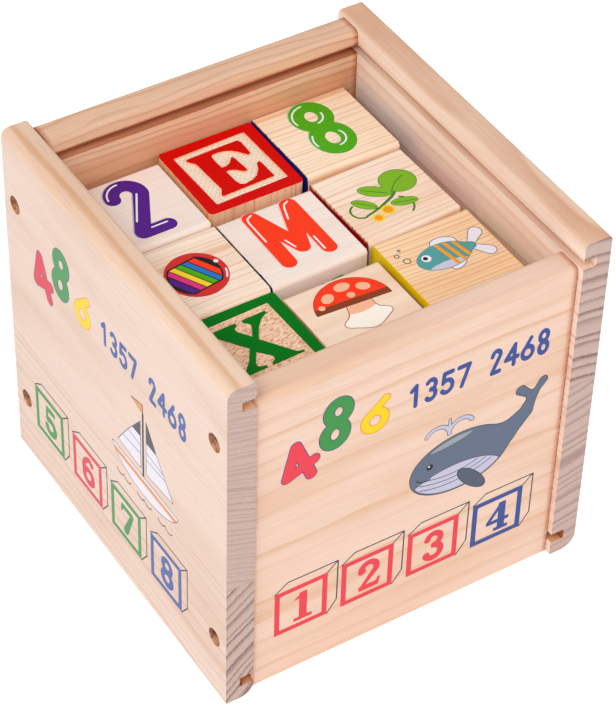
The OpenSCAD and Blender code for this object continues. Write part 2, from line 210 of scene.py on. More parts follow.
# %% Pine as a node group
def make_pine():
    patch, given, out = new_group(
        "pine",
        {"Place": "Vector", "Ring": "Float", "Warp": "Float", "Contrast": "Float", "End": "Float",
         "Early": "Color", "Late": "Color", "End Early": "Color", "End Late": "Color"},
        {"Color": "Color", "Height": "Float"})
    place = given["Place"]

    # The trunk isn't quite round or straight: slow noise bends it, quicker noise ripples it
    warp = patch.times(given["Warp"], patch.scaled(given["End"], -0.55, 1.0))
    shifts = []
    for scales, reach in (((0.012, 0.03, 0.03), warp), ((0.03, 0.2, 0.2), patch.times(warp, 0.08))):
        away = patch.vector("SUBTRACT", patch.noise(place, scales, output="Color"), (0.5,) * 3)
        shifts.append(patch.node("VectorMath", {0: away, 3: reach}, operation="SCALE").outputs[0])
    bent = patch.vector("ADD", place, patch.vector("ADD", *shifts))

    # Years outwards from the pith, and how far through the present year
    radius = patch.vector("LENGTH", patch.vector("MULTIPLY", bent, (0.0, 1.0, 1.0)))
    years = patch.math("DIVIDE", radius, given["Ring"])
    uneven = patch.node("TexNoise", {"W": years, "Scale": 0.45, "Detail": 1.0}, noise_dimensions="1D")
    years = patch.scaled(uneven.outputs["Fac"], 1.5, years)
    season = patch.math("FRACT", years)
    year = patch.node("TexWhiteNoise", {"W": patch.math("FLOOR", years)}, noise_dimensions="1D")
    late = patch.times(patch.step(season, 0.35, 0.9), patch.step(season, 1.0, 0.9))
    late = patch.math("POWER", late, 1.8)
    strength = patch.scaled(year.outputs["Value"], 0.75, 0.25)
    patchy = patch.scaled(patch.noise(place, (0.01, 0.12, 0.12), 2.0), 1.5, 0.4)
    line = patch.times(patch.times(late, strength), given["Contrast"])
    line = patch.times(line, patchy)

    # Fibres, resin streaks and clouds of colour on a long face
    fibre = patch.noise(place, (0.05, 1.6, 1.6), 3.0, 0.6)
    fine = patch.noise(place, (0.12, 6.0, 6.0), 2.0, 0.6)
    cloud = patch.noise(place, (0.01, 0.05, 0.05), 2.0)
    streak = patch.step(patch.noise(place, (0.045, 1.1, 1.1), 1.0), 0.66, 0.76)
    fleck = patch.step(patch.noise(place, (0.16, 2.2, 2.2), 1.0), 0.72, 0.78)
    shade = patch.swing(fibre, 0.2, 1.0)
    shade = patch.swing(fine, 0.12, shade)
    shade = patch.scaled(streak, -0.07, shade)
    shade = patch.scaled(fleck, -0.12, shade)
    warm = patch.times(patch.step(cloud, 0.42, 0.75), 0.45)
    long_face = patch.blend(line, given["Early"], given["Late"])
    long_face = patch.blend(warm, long_face, given["Late"])
    long_face = patch.tint(long_face, shade)

    # Pores, rays and broader, ragged rings on an end
    pore = patch.noise(place, (0.3, 1.7, 1.7), 4.0, 0.75)
    grit = patch.noise(place, (0.5, 9.0, 9.0), 2.0, 0.7)
    saw = patch.noise(place, (0.5, 0.35, 3.2), 3.0, 0.75)
    ragged = patch.swing(pore, 0.6, years)
    end_season = patch.math("FRACT", ragged)
    band = patch.times(patch.step(end_season, 0.2, 0.86), patch.step(end_season, 1.0, 0.88))
    ring = patch.times(patch.times(band, band), given["Contrast"])
    ring = patch.times(ring, patch.scaled(year.outputs["Value"], 0.81, 0.8775))
    ring = patch.times(ring, patch.scaled(pore, 1.6, 0.1))
    end_face = patch.blend(patch.node("Clamp", (ring,)).outputs[0], given["End Early"], given["End Late"])
    dots = patch.swing(pore, 0.55, 1.0)
    dots = patch.swing(grit, 0.34, dots)
    dots = patch.swing(saw, 0.3, dots)
    end_face = patch.tint(end_face, dots)

    # Late wood is harder and stands a hair proud of the planed face
    long_relief = patch.scaled(fibre, 0.05, patch.times(line, 0.03))
    end_relief = patch.scaled(grit, 0.07, patch.times(pore, 0.05))
    relief = patch.mix(given["End"], long_relief, end_relief)
    patch.feed(out, {"Color": patch.blend(given["End"], long_face, end_face), "Height": relief})
    return patch.tree


PINE = make_pine()
print("pine group:", len(PINE.nodes), "nodes")


def lay_pine(patch, place, end, ring, warp, contrast, early, late, end_early, end_late):
    """Places the pine group in a material and returns its outputs."""
    values = {"Place": place, "Ring": ring, "Warp": warp, "Contrast": contrast, "End": end,
              "Early": early, "Late": late, "End Early": end_early, "End Late": end_late}
    return patch.node("Group", values, node_tree=PINE).outputs


# %% [markdown]
# Each wall is planed pine, glued up from two strips, as a cheap wide board is. The photograph
# shows it at the front ends, where the rings lean one way above the joint and another way below.
# So a board has two piths, and its place along Z says which of them counts. Sawn grooves are
# browner than planed faces, partly as sawn fibre and partly as painted shade, by an amount that
# differs from wall to wall in the photograph.

# %% Colours and cuts of the boards
PINE_COLOURS = "early late end_early end_late"
PINE_LEFT = palette(PINE_COLOURS, (236, 212, 198), (216, 176, 150), (206, 178, 167), (112, 84, 78))
# The right wall's pine is lighter than the others: partly its own tone, partly painted light on its shaded
# inner face
PINE_RIGHT_PAINTED_LIGHT = palette(PINE_COLOURS, (252, 230, 214), (220, 164, 130), (206, 179, 170), (134, 96, 86))
PINE_FRONT = palette(PINE_COLOURS, (244, 211, 191), (228, 178, 136), (214, 184, 168), (150, 112, 96))
PINE_BACK = palette(PINE_COLOURS, (238, 196, 164), (208, 146, 106), (214, 184, 168), (150, 112, 96))
# Browns: sawn wood, partly painted shade; painted shade in the lower groove; frayed lips; the top's outer
# edge; painted shade low inside; glue; a painted shadow in the joints' gap
BROWNS = palette("sawn deep lip brim aged glue gap", (232, 172, 114), (206, 150, 108), (226, 166, 124),
                 (240, 216, 192), (244, 226, 212), (214, 156, 120), (118, 68, 44))
# Grooves: lower and upper faces' heights. Screws: along the board, low and high. All in mm.
GROOVES, GROOVE_DEPTH = ((125.8, 129.2), (5.6, 9.5)), 5.0
SCREWS, HOLE_RADIUS = (61.9, 25.0, 109.9), 3.25
# Past 1 this strength adds the deep brown, a painted shade in the lower groove's slot
LOWER_CUT_AND_SHADE = 1.5          # strength of brown in the lower groove
NO_INNER_FACE = 70       # mm, beyond the panel's edges, so that nothing on it counts as sawn
STRIP_SHIFT = 137.0      # mm along the stick between the two strips of a board
PLANED_ROUGH, PLANED_GLOSS = 0.58, 0.25
print("grooves at", GROOVES, "mm, screws at", SCREWS, "mm")

# %% [markdown]
# A saw and a drill leave rough fibres that look browner than a planed face, and in grooves and holes
# part of that brown is painted shade. The solids hold the grooves and the holes, so a mask only has
# to know where they are: it is worked out from a point's distances, and noise frays it where a lip
# has torn. Painted shade does the rest: faces that look up have a tint of their own, partly browner
# grain, and the inside is a little browner low down.

# %% Cuts, wear and painted shade
def cut_masks(patch, board, level, rough_cut, inner_face, cut, holes):
    """Masks of sawn wood, in grooves and drilled holes, whose brown is partly painted shade in these
    recesses, and of the grooves' frayed lips. level is a point's place along the board, across it
    and its height, in mm."""
    along, across, height = level
    deep = patch.between(across, inner_face + 0.3, inner_face + GROOVE_DEPTH, 0.1)
    lip = patch.between(across, inner_face - 0.4, inner_face + 0.5, 0.2)
    splinters = patch.noise(board, (0.3, 0.6, 1.2), 3.0, 0.7)
    frayed_height = patch.scaled(splinters, -0.8, height)
    sawn, frayed = 0.0, 0.0
    for (low, high), share in zip(GROOVES, (cut, LOWER_CUT_AND_SHADE)):
        groove = patch.times(deep, patch.between(height, low, high, 0.15))
        sawn = patch.math("MAXIMUM", sawn, patch.times(groove, share))
        ragged = patch.between(frayed_height, low - 0.6, high + 0.15, 0.2)
        frayed = patch.math("MAXIMUM", frayed, patch.times(lip, ragged))
    if holes:
        aside = patch.math("SUBTRACT", along, SCREWS[0])
        rises = [patch.math("ABSOLUTE", patch.math("SUBTRACT", height, z)) for z in SCREWS[1:]]
        rise = patch.math("MINIMUM", *rises)
        away = patch.vector("LENGTH", patch.node("CombineXYZ", (aside, rise, 0.0)).outputs[0])
        inside = patch.step(away, HOLE_RADIUS + 0.1, HOLE_RADIUS - 0.1)
        drilled = patch.scaled(patch.step(rough_cut, 0.4, 0.62), 1.1, 0.35)
        sawn = patch.math("MAXIMUM", sawn, patch.times(inside, drilled))
    return sawn, frayed


def wear_and_shade(patch, colour, board, level, rising, inner_face, top, brim, aged):
    """A board's colour with what faces up tinted, partly browner grain and partly painted shade, a line
    along its outer edge, and the inner face browned low down as painted shade."""
    across, height = level[1:]
    # Faces that look up get a streaky tint: browner grain on the side walls, and a painted shade that darkens
    # the tops
    planed = patch.step(patch.noise(board, (0.05, 1.5, 1.5), 3.0, 0.65), 0.38, 0.66)
    planed = patch.times(patch.step(rising, 0.05, 0.6), patch.scaled(planed, 0.3, 0.7))
    colour = patch.stain(colour, planed, top)
    drift = patch.scaled(patch.noise(board, (0.03, 0.6, 0.6), 2.0), 3.0, across)
    line = patch.between(drift, inner_face + 6.2, inner_face + 8.4, 0.8)
    line = patch.times(line, patch.step(rising, 0.6, 0.95))
    colour = patch.stain(colour, patch.times(line, brim), BROWNS["brim"])
    # Low on the inner face the wood is browned: painted shade deep inside the box
    inside = patch.step(across, inner_face + 0.4, inner_face + 0.2)
    inside = patch.times(patch.step(height, 122.5, 118.5), inside)
    return patch.stain(colour, patch.times(inside, aged), BROWNS["aged"])


print("browns:", list(BROWNS))

# %% [markdown]
# A board's material turns its place so that X runs along the grain, chooses the strip by height,
# lays the pine group and then adds the cuts and the wear. The four walls and the panel differ
# only in the values they give it.

# %% Board materials
def board_material(name, grain, colours, joint, upper, lower, warp, inner_face, holes=False, seam=None,
                   top=(1.0, 1.0, 1.0, 1.0), brim=0.0, cut=1.0, aged=0.0):
    """Planed board glued from two strips, its grain along "X" or "Y". A strip is its pith, its rings
    and their contrast: the pith's two places across the grain in mm, first along the other level
    axis, then along Z. joint is the height where the strips meet, inner_face how far the board's
    inner face is from the middle, and seam where it meets its neighbour. top tints what faces up,
    partly as painted shade. The last three are strengths of brown: brim along the top's outer edge,
    cut in the upper groove, sawn wood and painted shade, and the last one low on the inner face,
    as painted shade."""
    material, patch, shader = new_material(name)
    coordinates = patch.node("TexCoord").outputs
    turn, flip = (0.0, 1) if grain == "X" else (-90.0, -1)
    board = patch.node("Mapping", {"Vector": coordinates["Object"], "Scale": (1 / MM,) * 3,
                                   "Rotation": (0.0, 0.0, math.radians(turn))}).outputs[0]
    along, across, height = patch.node("SeparateXYZ", (board,)).outputs[:3]
    along, across = patch.math("ABSOLUTE", along), patch.math("ABSOLUTE", across)
    level = (along, across, height)

    wave = patch.noise(board, (0.02, 0.1, 0.0), 1.0)
    below = patch.step(patch.scaled(wave, 3.0, height), joint + 0.4, joint - 0.4)
    piths = [(STRIP_SHIFT * i, flip * p[0][0], p[0][1]) for i, p in enumerate((upper, lower))]
    place = patch.vector("SUBTRACT", board, patch.choose(below, *piths))
    ring, contrast = [patch.mix(below, upper[i], lower[i]) for i in (1, 2)]
    axis = (1.0, 0.0, 0.0) if grain == "X" else (0.0, 1.0, 0.0)
    facing = patch.math("ABSOLUTE", patch.vector("DOT_PRODUCT", coordinates["Normal"], axis))
    end = patch.step(facing, 0.45, 0.85)
    wood = lay_pine(patch, place, end, ring, warp, contrast, **colours)

    rough_cut = patch.noise(board, (0.4, 1.5, 1.5), 3.0, 0.7)
    sawn, frayed = cut_masks(patch, board, level, rough_cut, inner_face, cut, holes)
    # Grooves and holes are browned as sawn wood and as painted shade in these recesses; the lower groove's
    # deepest brown is painted shade
    colour = patch.stain(wood["Color"], patch.math("MINIMUM", sawn, 1.0), BROWNS["sawn"])
    deep_groove_shade = patch.times(patch.math("MAXIMUM", patch.math("SUBTRACT", sawn, 1.0), 0.0), 2.0)
    colour = patch.stain(colour, deep_groove_shade, BROWNS["deep"])
    colour = patch.stain(colour, patch.times(frayed, 0.85 * cut), BROWNS["lip"])
    rising = patch.vector("DOT_PRODUCT", coordinates["Normal"], (0.0, 0.0, 1.0))
    colour = wear_and_shade(patch, colour, board, level, rising, inner_face, top, brim, aged)
    if seam is not None:
        # Glue and dust darken the wood where it meets its neighbour, and past the seam a dark line is a
        # painted shadow of the gap
        edge = patch.scaled(rough_cut, 1.6, along)
        dusty = patch.times(patch.step(edge, seam - 1.6, seam + 0.6), 0.75)
        colour = patch.stain(colour, dusty, BROWNS["glue"])
        colour = patch.blend(patch.step(edge, seam + 0.55, seam + 0.75), colour, BROWNS["gap"])
    relief = patch.scaled(patch.times(sawn, rough_cut), 0.3, wood["Height"])
    patch.feed(shader, {"Base Color": colour, "Roughness": PLANED_ROUGH,
                        "Specular IOR Level": PLANED_GLOSS, "Normal": patch.bump(relief, 0.5)})
    return material


def dress(node, material):
    """Gives a carried-over solid its material."""
    nodes[node].data.materials.clear()
    nodes[node].data.materials.append(material)


dress("left_wall", board_material("left_pine", "Y", PINE_LEFT, 54, ((-110, -60), 2.0, 0.2),
                                  ((25, -80), 3.8, 0.62), 9, 57.5, True,
                                  top=tone(255, 243, 226), brim=0.75))
dress("right_wall", board_material("right_pine", "Y", PINE_RIGHT_PAINTED_LIGHT, 78, ((52, 20), 4.6, 0.62),
                                   ((34, 170), 4.2, 0.4), 6, 57.5, True,
                                   top=tone(242, 234, 224), cut=0.0))
dress("front_wall", board_material("front_pine", "X", PINE_FRONT, 30, ((16, -46), 7.0, 0.65),
                                   ((-20, -60), 6.2, 0.38), 8, 56.9, seam=57.5,
                                   top=tone(249, 249, 252)))
dress("back_wall", board_material("back_pine", "X", PINE_BACK, 60, ((10, 40), 3.2, 0.8),
                                  ((140, 10), 3.2, 0.8), 10, 56.9, seam=57.5,
                                  top=tone(240, 239, 242), aged=1.0))
dress("bottom_panel", board_material("panel_pine", "X", PINE_FRONT, 0, ((20, -70), 3.6, 0.7),
                                     ((20, -70), 3.6, 0.7), 12, NO_INNER_FACE))
print("boards dressed:", [n for n in nodes if n.endswith(("wall", "panel"))])

# %% [markdown]
# The screws are ordinary steel with a yellow zinc coat. Only their heads can be seen, down in
# their sunk holes. The coat's colour drifts between straw and a faint green.

# %% Screws
def screw_material():
    material, patch, shader = new_material("yellow_zinc")
    place = patch.millimetres()
    drift = patch.noise(place, (0.7,) * 3, 3.0)
    colour = patch.blend(patch.step(drift, 0.35, 0.7), tone(196, 164, 96), tone(166, 160, 112))
    wear = patch.noise(place, (3.0,) * 3, 3.0)
    patch.feed(shader, {"Base Color": colour, "Roughness": patch.scaled(wear, 0.25, 0.22),
                        "Metallic": 1.0, "Normal": patch.bump(wear, 0.3)})
    return material


ZINC = screw_material()
for side in ("left", "right"):
    dress(side + "_screws", ZINC)
print("screws dressed")

# %% [markdown]
# A block's raised letter is cut into the end grain, and the letter and its border are rolled
# with enamel. Rolled paint reaches only what stands highest, so depth below the face is the
# mask, roughened by noise at its lower edge. The ground round the letter is pressed with a
# tool and keeps its pattern of short dents in rows.

# %% Paint and pressed ground as node groups
def make_enamel():
    patch, given, out = new_group("enamel", {"Depth": "Float", "Rim": "Float", "Place": "Vector",
                                             "Reach": "Float", "Bare": "Float"},
                                  {"Mask": "Float", "Height": "Float"})
    ragged = patch.noise(given["Place"], (1.1, 1.1, 1.1), 3.0, 0.65)
    reach = patch.swing(ragged, 0.45, given["Depth"])
    left = patch.math("SUBTRACT", given["Reach"], reach)
    mask = patch.step(left, -0.04, 0.04)
    chip = patch.noise(given["Place"], (2.3, 2.3, 2.3), 1.0)
    rubbed = patch.times(patch.step(chip, 0.79, 0.82), 0.8)
    mask = patch.math("SUBTRACT", mask, rubbed)
    drift = patch.noise(given["Place"], (0.0, 0.12, 0.12), 2.0)
    edge = patch.swing(drift, 1.6, given["Rim"])
    edge = patch.math("SUBTRACT", edge, given["Bare"])
    mask = patch.times(mask, patch.step(edge, -0.06, 0.06))
    skin = patch.noise(given["Place"], (0.5, 0.9, 0.9), 2.0)
    patch.feed(out, {"Mask": patch.node("Clamp", (mask,)).outputs[0], "Height": patch.times(skin, 0.04)})
    return patch.tree


def make_ground():
    patch, given, out = new_group("pressed_ground", {"Place": "Vector", "Color": "Color",
                                                     "Dent Color": "Color", "Torn": "Float"},
                                  {"Color": "Color", "Height": "Float"})
    flat = patch.node("SeparateXYZ", (given["Place"],)).outputs
    row = patch.node("CombineXYZ", (flat["Z"], flat["Y"], 0.0)).outputs[0]
    jitter = patch.noise(given["Place"], (0.0, 0.9, 0.9), 2.0, output="Color")
    row = patch.vector("ADD", row, patch.vector("MULTIPLY", jitter, (0.7, 0.7, 0.0)))
    bricks = patch.node("TexBrick", {"Vector": row, "Scale": 1.0, "Mortar Size": 0.13,
                                     "Mortar Smooth": 0.8, "Brick Width": 2.0, "Row Height": 1.1})
    joint = patch.times(bricks.outputs["Fac"], 0.7)
    turn = (0.0, 0.0, math.radians(14))
    leaning = patch.node("Mapping", {"Vector": row, "Rotation": turn}).outputs[0]
    torn = patch.step(patch.noise(leaning, (0.5, 1.8, 0.75), 1.5, 0.6), 0.42, 0.74)
    dent = patch.mix(given["Torn"], joint, torn)
    mottle = patch.noise(given["Place"], (0.4, 1.3, 1.3), 3.0, 0.7)
    colour = patch.blend(dent, given["Color"], given["Dent Color"])
    colour = patch.tint(colour, patch.scaled(mottle, 0.26, 0.87))
    patch.feed(out, {"Color": colour, "Height": patch.times(dent, -0.25)})
    return patch.tree


ENAMEL = make_enamel()
GROUND = make_ground()
print("enamel and ground groups made")

# %% [markdown]
# Twenty-seven blocks share one recipe, so each is one row of a table: its node, its letter, its
# centre and turn, and whether its raised letter looks up or to the side. Places and sides are
# read from the solids, so the paint follows each block's faces.

# %% Where the blocks are
LAYERS = ("low", "mid", "top")
ROWS = ("back", "middle", "front")
COLUMNS = ("left", "centre", "right")
STACK_TURN = {"back_left": 0.0, "back_centre": -0.4, "back_right": 0.2,
              "middle_left": 0.3, "middle_centre": 0.3, "middle_right": 1.1,
              "front_left": 0.0, "front_centre": 0.3, "front_right": 0.0}
LETTER_UP = {"low": "101 010 101", "mid": "010 101 010", "top": "010 000 100"}
LETTERS = {"low": "QRS UVW YZA", "mid": "NOP JLI ADF", "top": "BEK TMG XHC"}


def block_table():
    """One dict per block: its node, letter, centre and side in mm, turn, and which way up."""
    rows = []
    for layer in LAYERS:
        for r, row in enumerate(ROWS):
            for c, column in enumerate(COLUMNS):
                node = f"block_{layer}_{row}_{column}"
                low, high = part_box(node)
                rows.append({
                    "node": node, "layer": layer, "spot": f"{row}_{column}",
                    "letter": LETTERS[layer].split()[r][c],
                    "up": LETTER_UP[layer].split()[r][c] == "1",
                    "centre": (np.array(low) + np.array(high)) / 2 / MM,
                    "side": (high.z - low.z) / MM,
                    "turn": math.radians(STACK_TURN[f"{row}_{column}"])})
    return rows


BLOCKS = block_table()
print(len(BLOCKS), "blocks, sides", round(min(b["side"] for b in BLOCKS), 2), "to",
      round(max(b["side"] for b in BLOCKS), 2), "mm")

# %% [markdown]
# Each block is sawn from its own stretch of a stick of pine, so that no two look alike, and has
# its own enamel. The grain runs through the raised letter, so the letter's face shows end
# grain, and the four faces round it show long grain.

# %% Colours and woods of the blocks
INK_GLOSS, ENAMEL_GLOSS = 0.2, 0.06
RED, GREEN = tone(212, 8, 4), tone(0, 116, 24)
BLUE, YELLOW = tone(10, 40, 132), tone(240, 206, 4)
ENAMELS = [RED, BLUE, GREEN, YELLOW]
TOP_ENAMELS = {"back_centre": RED, "back_right": BLUE, "middle_centre": BLUE, "middle_right": RED,
               "front_left": GREEN, "front_centre": RED, "front_right": YELLOW,
               "back_left": YELLOW, "middle_left": GREEN}
PINE_BLOCK = palette("end_early end_late", (232, 196, 160), (170, 112, 84))
STICK_SHIFT, BLOCK_WARP = 61.0, 6.0      # mm along the stick from block to block, and how far it bends
# Pith from the block's centre in mm, a year's growth, ring contrast and kind of wood
TOP_WOOD = {"back_left": ((12, 46), 3.0, 0.15, "pale"), "back_centre": ((30, 30), 1.5, 0.8, "amber"),
            "back_right": ((70, 10), 1.8, 1.0, "warm"), "middle_left": ((60, -12), 2.0, 1.0, "even"),
            "middle_centre": ((-50, 24), 3.4, 0.2, "pale"), "middle_right": ((80, 6), 2.1, 0.95, "even"),
            "front_left": ((20, 36), 2.2, 0.9, "even"), "front_centre": ((5, -30), 4.2, 0.6, "even"),
            "front_right": ((64, -14), 1.6, 1.1, "gold")}
# Early and late wood of each kind
WOODS = {"pale": (tone(248, 232, 222), tone(236, 208, 188)),
         "warm": (tone(255, 232, 204), tone(236, 180, 134)),
         "even": (tone(253, 232, 212), tone(236, 186, 148)),
         "gold": (tone(252, 216, 176), tone(230, 164, 108)),
         "amber": (tone(250, 204, 168), tone(226, 156, 112))}
# Colours of the ground round a letter and of its dents: pressed, and torn as round the X
GROUNDS = {False: (tone(255, 240, 218), tone(222, 166, 130)),
           True: (tone(255, 218, 186), tone(208, 138, 104))}
BARE_NOWHERE = -2.0
# Hidden blocks' piths lie round the block in steps of one angle, at one distance in mm
GOLDEN_ANGLE, HIDDEN_PITH = 2.4, 45
# How much of a letter face's rim the roller left bare, in mm, on blocks that lie on their side
TOP_BARE = {"middle_centre": 0.3, "middle_right": 0.9, "front_centre": 2.5, "back_right": 0.3}
print("woods:", list(WOODS))


# %% Block materials
def block_material(block, number):
    """Pine, enamel and pressed ground of one block, in its own coordinates: X runs along the
    grain, through the raised letter."""
    material, patch, shader = new_material("pine_" + block["node"])
    coordinates = patch.node("TexCoord").outputs
    stand = math.radians(-90) if block["up"] else 0.0
    local = patch.node("Mapping", {"Vector": coordinates["Object"],
                                   "Location": tuple(block["centre"] * MM),
                                   "Rotation": (0.0, stand, block["turn"]),
                                   "Scale": (MM,) * 3}, vector_type="TEXTURE").outputs[0]
    axis = (0.0, 0.0, 1.0) if block["up"] else (math.cos(block["turn"]), math.sin(block["turn"]), 0.0)
    facing = patch.math("ABSOLUTE", patch.vector("DOT_PRODUCT", coordinates["Normal"], axis))
    along, *sides = [patch.math("ABSOLUTE", c) for c in patch.node("SeparateXYZ", (local,)).outputs[:3]]
    depth = patch.math("SUBTRACT", block["side"] / 2, along)
    rim = patch.math("SUBTRACT", block["side"] / 2, patch.math("MAXIMUM", *sides))

    if block["layer"] == "top":
        pith, ring, contrast, wood_kind = TOP_WOOD[block["spot"]]
        enamel = TOP_ENAMELS[block["spot"]]
    else:
        angle = GOLDEN_ANGLE * number
        pith = (HIDDEN_PITH * math.cos(angle), HIDDEN_PITH * math.sin(angle))
        ring = 2.0 + 0.4 * (number % 5)
        contrast = 0.4 + 0.12 * (number % 5)
        wood_kind = list(WOODS)[number % 4]
        enamel = ENAMELS[number % 4]
    early, late = WOODS[wood_kind]
    place = patch.vector("SUBTRACT", local, (STICK_SHIFT * number, *pith))
    end = patch.step(facing, 0.5, 0.85)
    wood = lay_pine(patch, place, end, ring, BLOCK_WARP, contrast, early, late, **PINE_BLOCK)

    torn = block["spot"] == "front_left"
    base, dents = GROUNDS[torn]
    values = {"Place": local, "Color": base, "Dent Color": dents, "Torn": float(torn)}
    ground = patch.node("Group", values, node_tree=GROUND)
    sunk = patch.times(patch.between(depth, 0.6, 1.2, 0.05), end)
    colour = patch.blend(sunk, wood["Color"], ground.outputs["Color"])
    relief = patch.scaled(ground.outputs["Height"], sunk, wood["Height"])

    bare = TOP_BARE.get(block["spot"], BARE_NOWHERE) if block["layer"] == "top" else BARE_NOWHERE
    values = {"Place": local, "Depth": depth, "Rim": rim, "Bare": bare,
              "Reach": 0.3 if block["up"] else 0.12}
    paint = patch.node("Group", values, node_tree=ENAMEL).outputs
    relief = patch.mix(paint["Mask"], relief, paint["Height"])
    patch.feed(shader, {"Base Color": patch.blend(paint["Mask"], colour, enamel),
                        "Roughness": patch.scaled(paint["Mask"], -0.22, PLANED_ROUGH),
                        "Specular IOR Level": ENAMEL_GLOSS if block["up"] else INK_GLOSS,
                        "Normal": patch.bump(relief, 0.7)})
    return material


for number, block in enumerate(BLOCKS):
    dress(block["node"], block_material(block, number))
print("blocks dressed:", len(BLOCKS))

# %% [markdown]
# The prints are films of ink a few hundredths of a millimetre thick. Each is drawn as a signed
# distance: a function of u, to the right, and v, upwards, in mm, that is below zero inside the
# shape. Shapes can be joined, cut and moved before any mesh exists, and the distance also says
# where an outline runs. A mesh made this way has smooth edges at any size.

# %% Shapes as distance functions
def oval(u0, v0, half_u, half_v=None, turn=0.0):
    """The ellipse's equation k = |p / half| less 1, divided by its slope to be nearly a length."""
    half_v = half_v or half_u
    c, s = math.cos(math.radians(turn)), math.sin(math.radians(turn))

    def distance(u, v):
        a, b = (u - u0) * c + (v - v0) * s, (v - v0) * c - (u - u0) * s
        k = np.hypot(a / half_u, b / half_v)
        return k * (k - 1) / (np.hypot(a / half_u ** 2, b / half_v ** 2) + 1e-6)
    return distance


def rod(points, half, end_half=None):
    """Least distance to the stretches of a path, less a half width that may taper to its end."""
    path = np.array(points, float)
    halves = np.linspace(half, half if end_half is None else end_half, len(path))

    def distance(u, v):
        best = np.full(np.shape(u), 1e9)
        for a, b, ra, rb in zip(path[:-1], path[1:], halves[:-1], halves[1:]):
            run = b - a
            t = np.clip(((u - a[0]) * run[0] + (v - a[1]) * run[1]) / max(run @ run, 1e-9), 0, 1)
            gap = np.hypot(u - a[0] - t * run[0], v - a[1] - t * run[1])
            best = np.minimum(best, gap - ra - t * (rb - ra))
        return best
    return distance


def bow(u0, v0, radius, start, end, half):
    """Distance to an arc from one angle to another, counter-clockwise, less a half width. Past
    the arc's ends the distance is the chord to its nearer end point."""
    middle, reach = math.radians((start + end) / 2), math.radians((end - start) / 2)

    def distance(u, v):
        a = np.abs((np.arctan2(v - v0, u - u0) - middle + math.pi) % (2 * math.pi) - math.pi)
        rho, past = np.hypot(u - u0, v - v0), np.maximum(a - reach, 0)
        chord = np.sqrt(np.maximum(rho ** 2 + radius ** 2 - 2 * rho * radius * np.cos(past), 0))
        return np.where(past > 0, chord, np.abs(rho - radius)) - half
    return distance


def slab(u0, v0, half_u, half_v, corner=0.0, turn=0.0):
    """Distance to a box with rounded corners."""
    c, s = math.cos(math.radians(turn)), math.sin(math.radians(turn))

    def distance(u, v):
        a = np.abs((u - u0) * c + (v - v0) * s) - half_u + corner
        b = np.abs((v - v0) * c - (u - u0) * s) - half_v + corner
        outside = np.hypot(np.maximum(a, 0), np.maximum(b, 0))
        return outside + np.minimum(np.maximum(a, b), 0) - corner
    return distance


def polygon(points):
    """Distance to the nearest side, below zero where a ray crosses an odd number of sides."""
    path = np.array(points, float)

    def distance(u, v):
        best, odd = np.full(np.shape(u), 1e9), np.zeros(np.shape(u), bool)
        for a, b in zip(path, np.roll(path, -1, 0)):
            run = b - a
            t = np.clip(((u - a[0]) * run[0] + (v - a[1]) * run[1]) / (run @ run), 0, 1)
            best = np.minimum(best, np.hypot(u - a[0] - t * run[0], v - a[1] - t * run[1]))
            rise = run[1] if abs(run[1]) > 1e-9 else 1e-9
            odd ^= ((a[1] > v) != (b[1] > v)) & (u < a[0] + run[0] * (v - a[1]) / rise)
        return np.where(odd, -best, best)
    return distance


print("a disc's distance at its middle and edge:", oval(0, 0, 5)(0.0, 0.0), oval(0, 0, 5)(5.0, 0.0))


# %% Shapes joined, cut and moved
def either(*shapes):
    """All the shapes as one: the least of their distances."""
    return lambda u, v: np.minimum.reduce([s(u, v) for s in shapes])


def both(*shapes):
    """Where the shapes overlap: the greatest of their distances."""
    return lambda u, v: np.maximum.reduce([s(u, v) for s in shapes])


def less(shape, *cuts):
    """A shape with others cut out: the greatest of its distance and theirs with the sign changed."""
    return lambda u, v: np.maximum.reduce([shape(u, v)] + [-c(u, v) for c in cuts])


def grown(shape, by):
    """A shape made larger all round: its distance less a length."""
    return lambda u, v: shape(u, v) - by


def melt(k, *shapes):
    """Like either, with the corners between shapes filled over a width k: a smooth least value."""
    def distance(u, v):
        total = shapes[0](u, v)
        for shape in shapes[1:]:
            other = shape(u, v)
            h = np.clip(0.5 + 0.5 * (other - total) / k, 0, 1)
            total = other + (total - other) * h - k * h * (1 - h)
        return total
    return distance


def placed(shape, du=0.0, dv=0.0, turn=0.0, size=1.0):
    """A shape drawn larger by size, turned counter-clockwise and moved."""
    c, s = math.cos(math.radians(turn)), math.sin(math.radians(turn))
    return lambda u, v: size * shape(((u - du) * c + (v - dv) * s) / size,
                                     ((v - dv) * c - (u - du) * s) / size)


print("two discs 3 mm apart, joined and melted, half way:",
      either(oval(0, 0, 1), oval(3, 0, 1))(1.5, 0.0), melt(2, oval(0, 0, 1), oval(3, 0, 1))(1.5, 0.0))

# %% [markdown]
# Marching triangles turns a distance into a mesh. The square is laid with a grid of triangles;
# one with all its corners inside is kept whole, and one that the outline crosses is cut where
# the distance is zero along its sides. Every corner keeps its distance to the outline.

# %% Marching triangles
ROUGH_STEP, NEAR = 2.0, 2.2      # mm, in the first look at where a shape is
SNAP = 0.04                      # a corner this near the outline, in steps, is taken to be inside


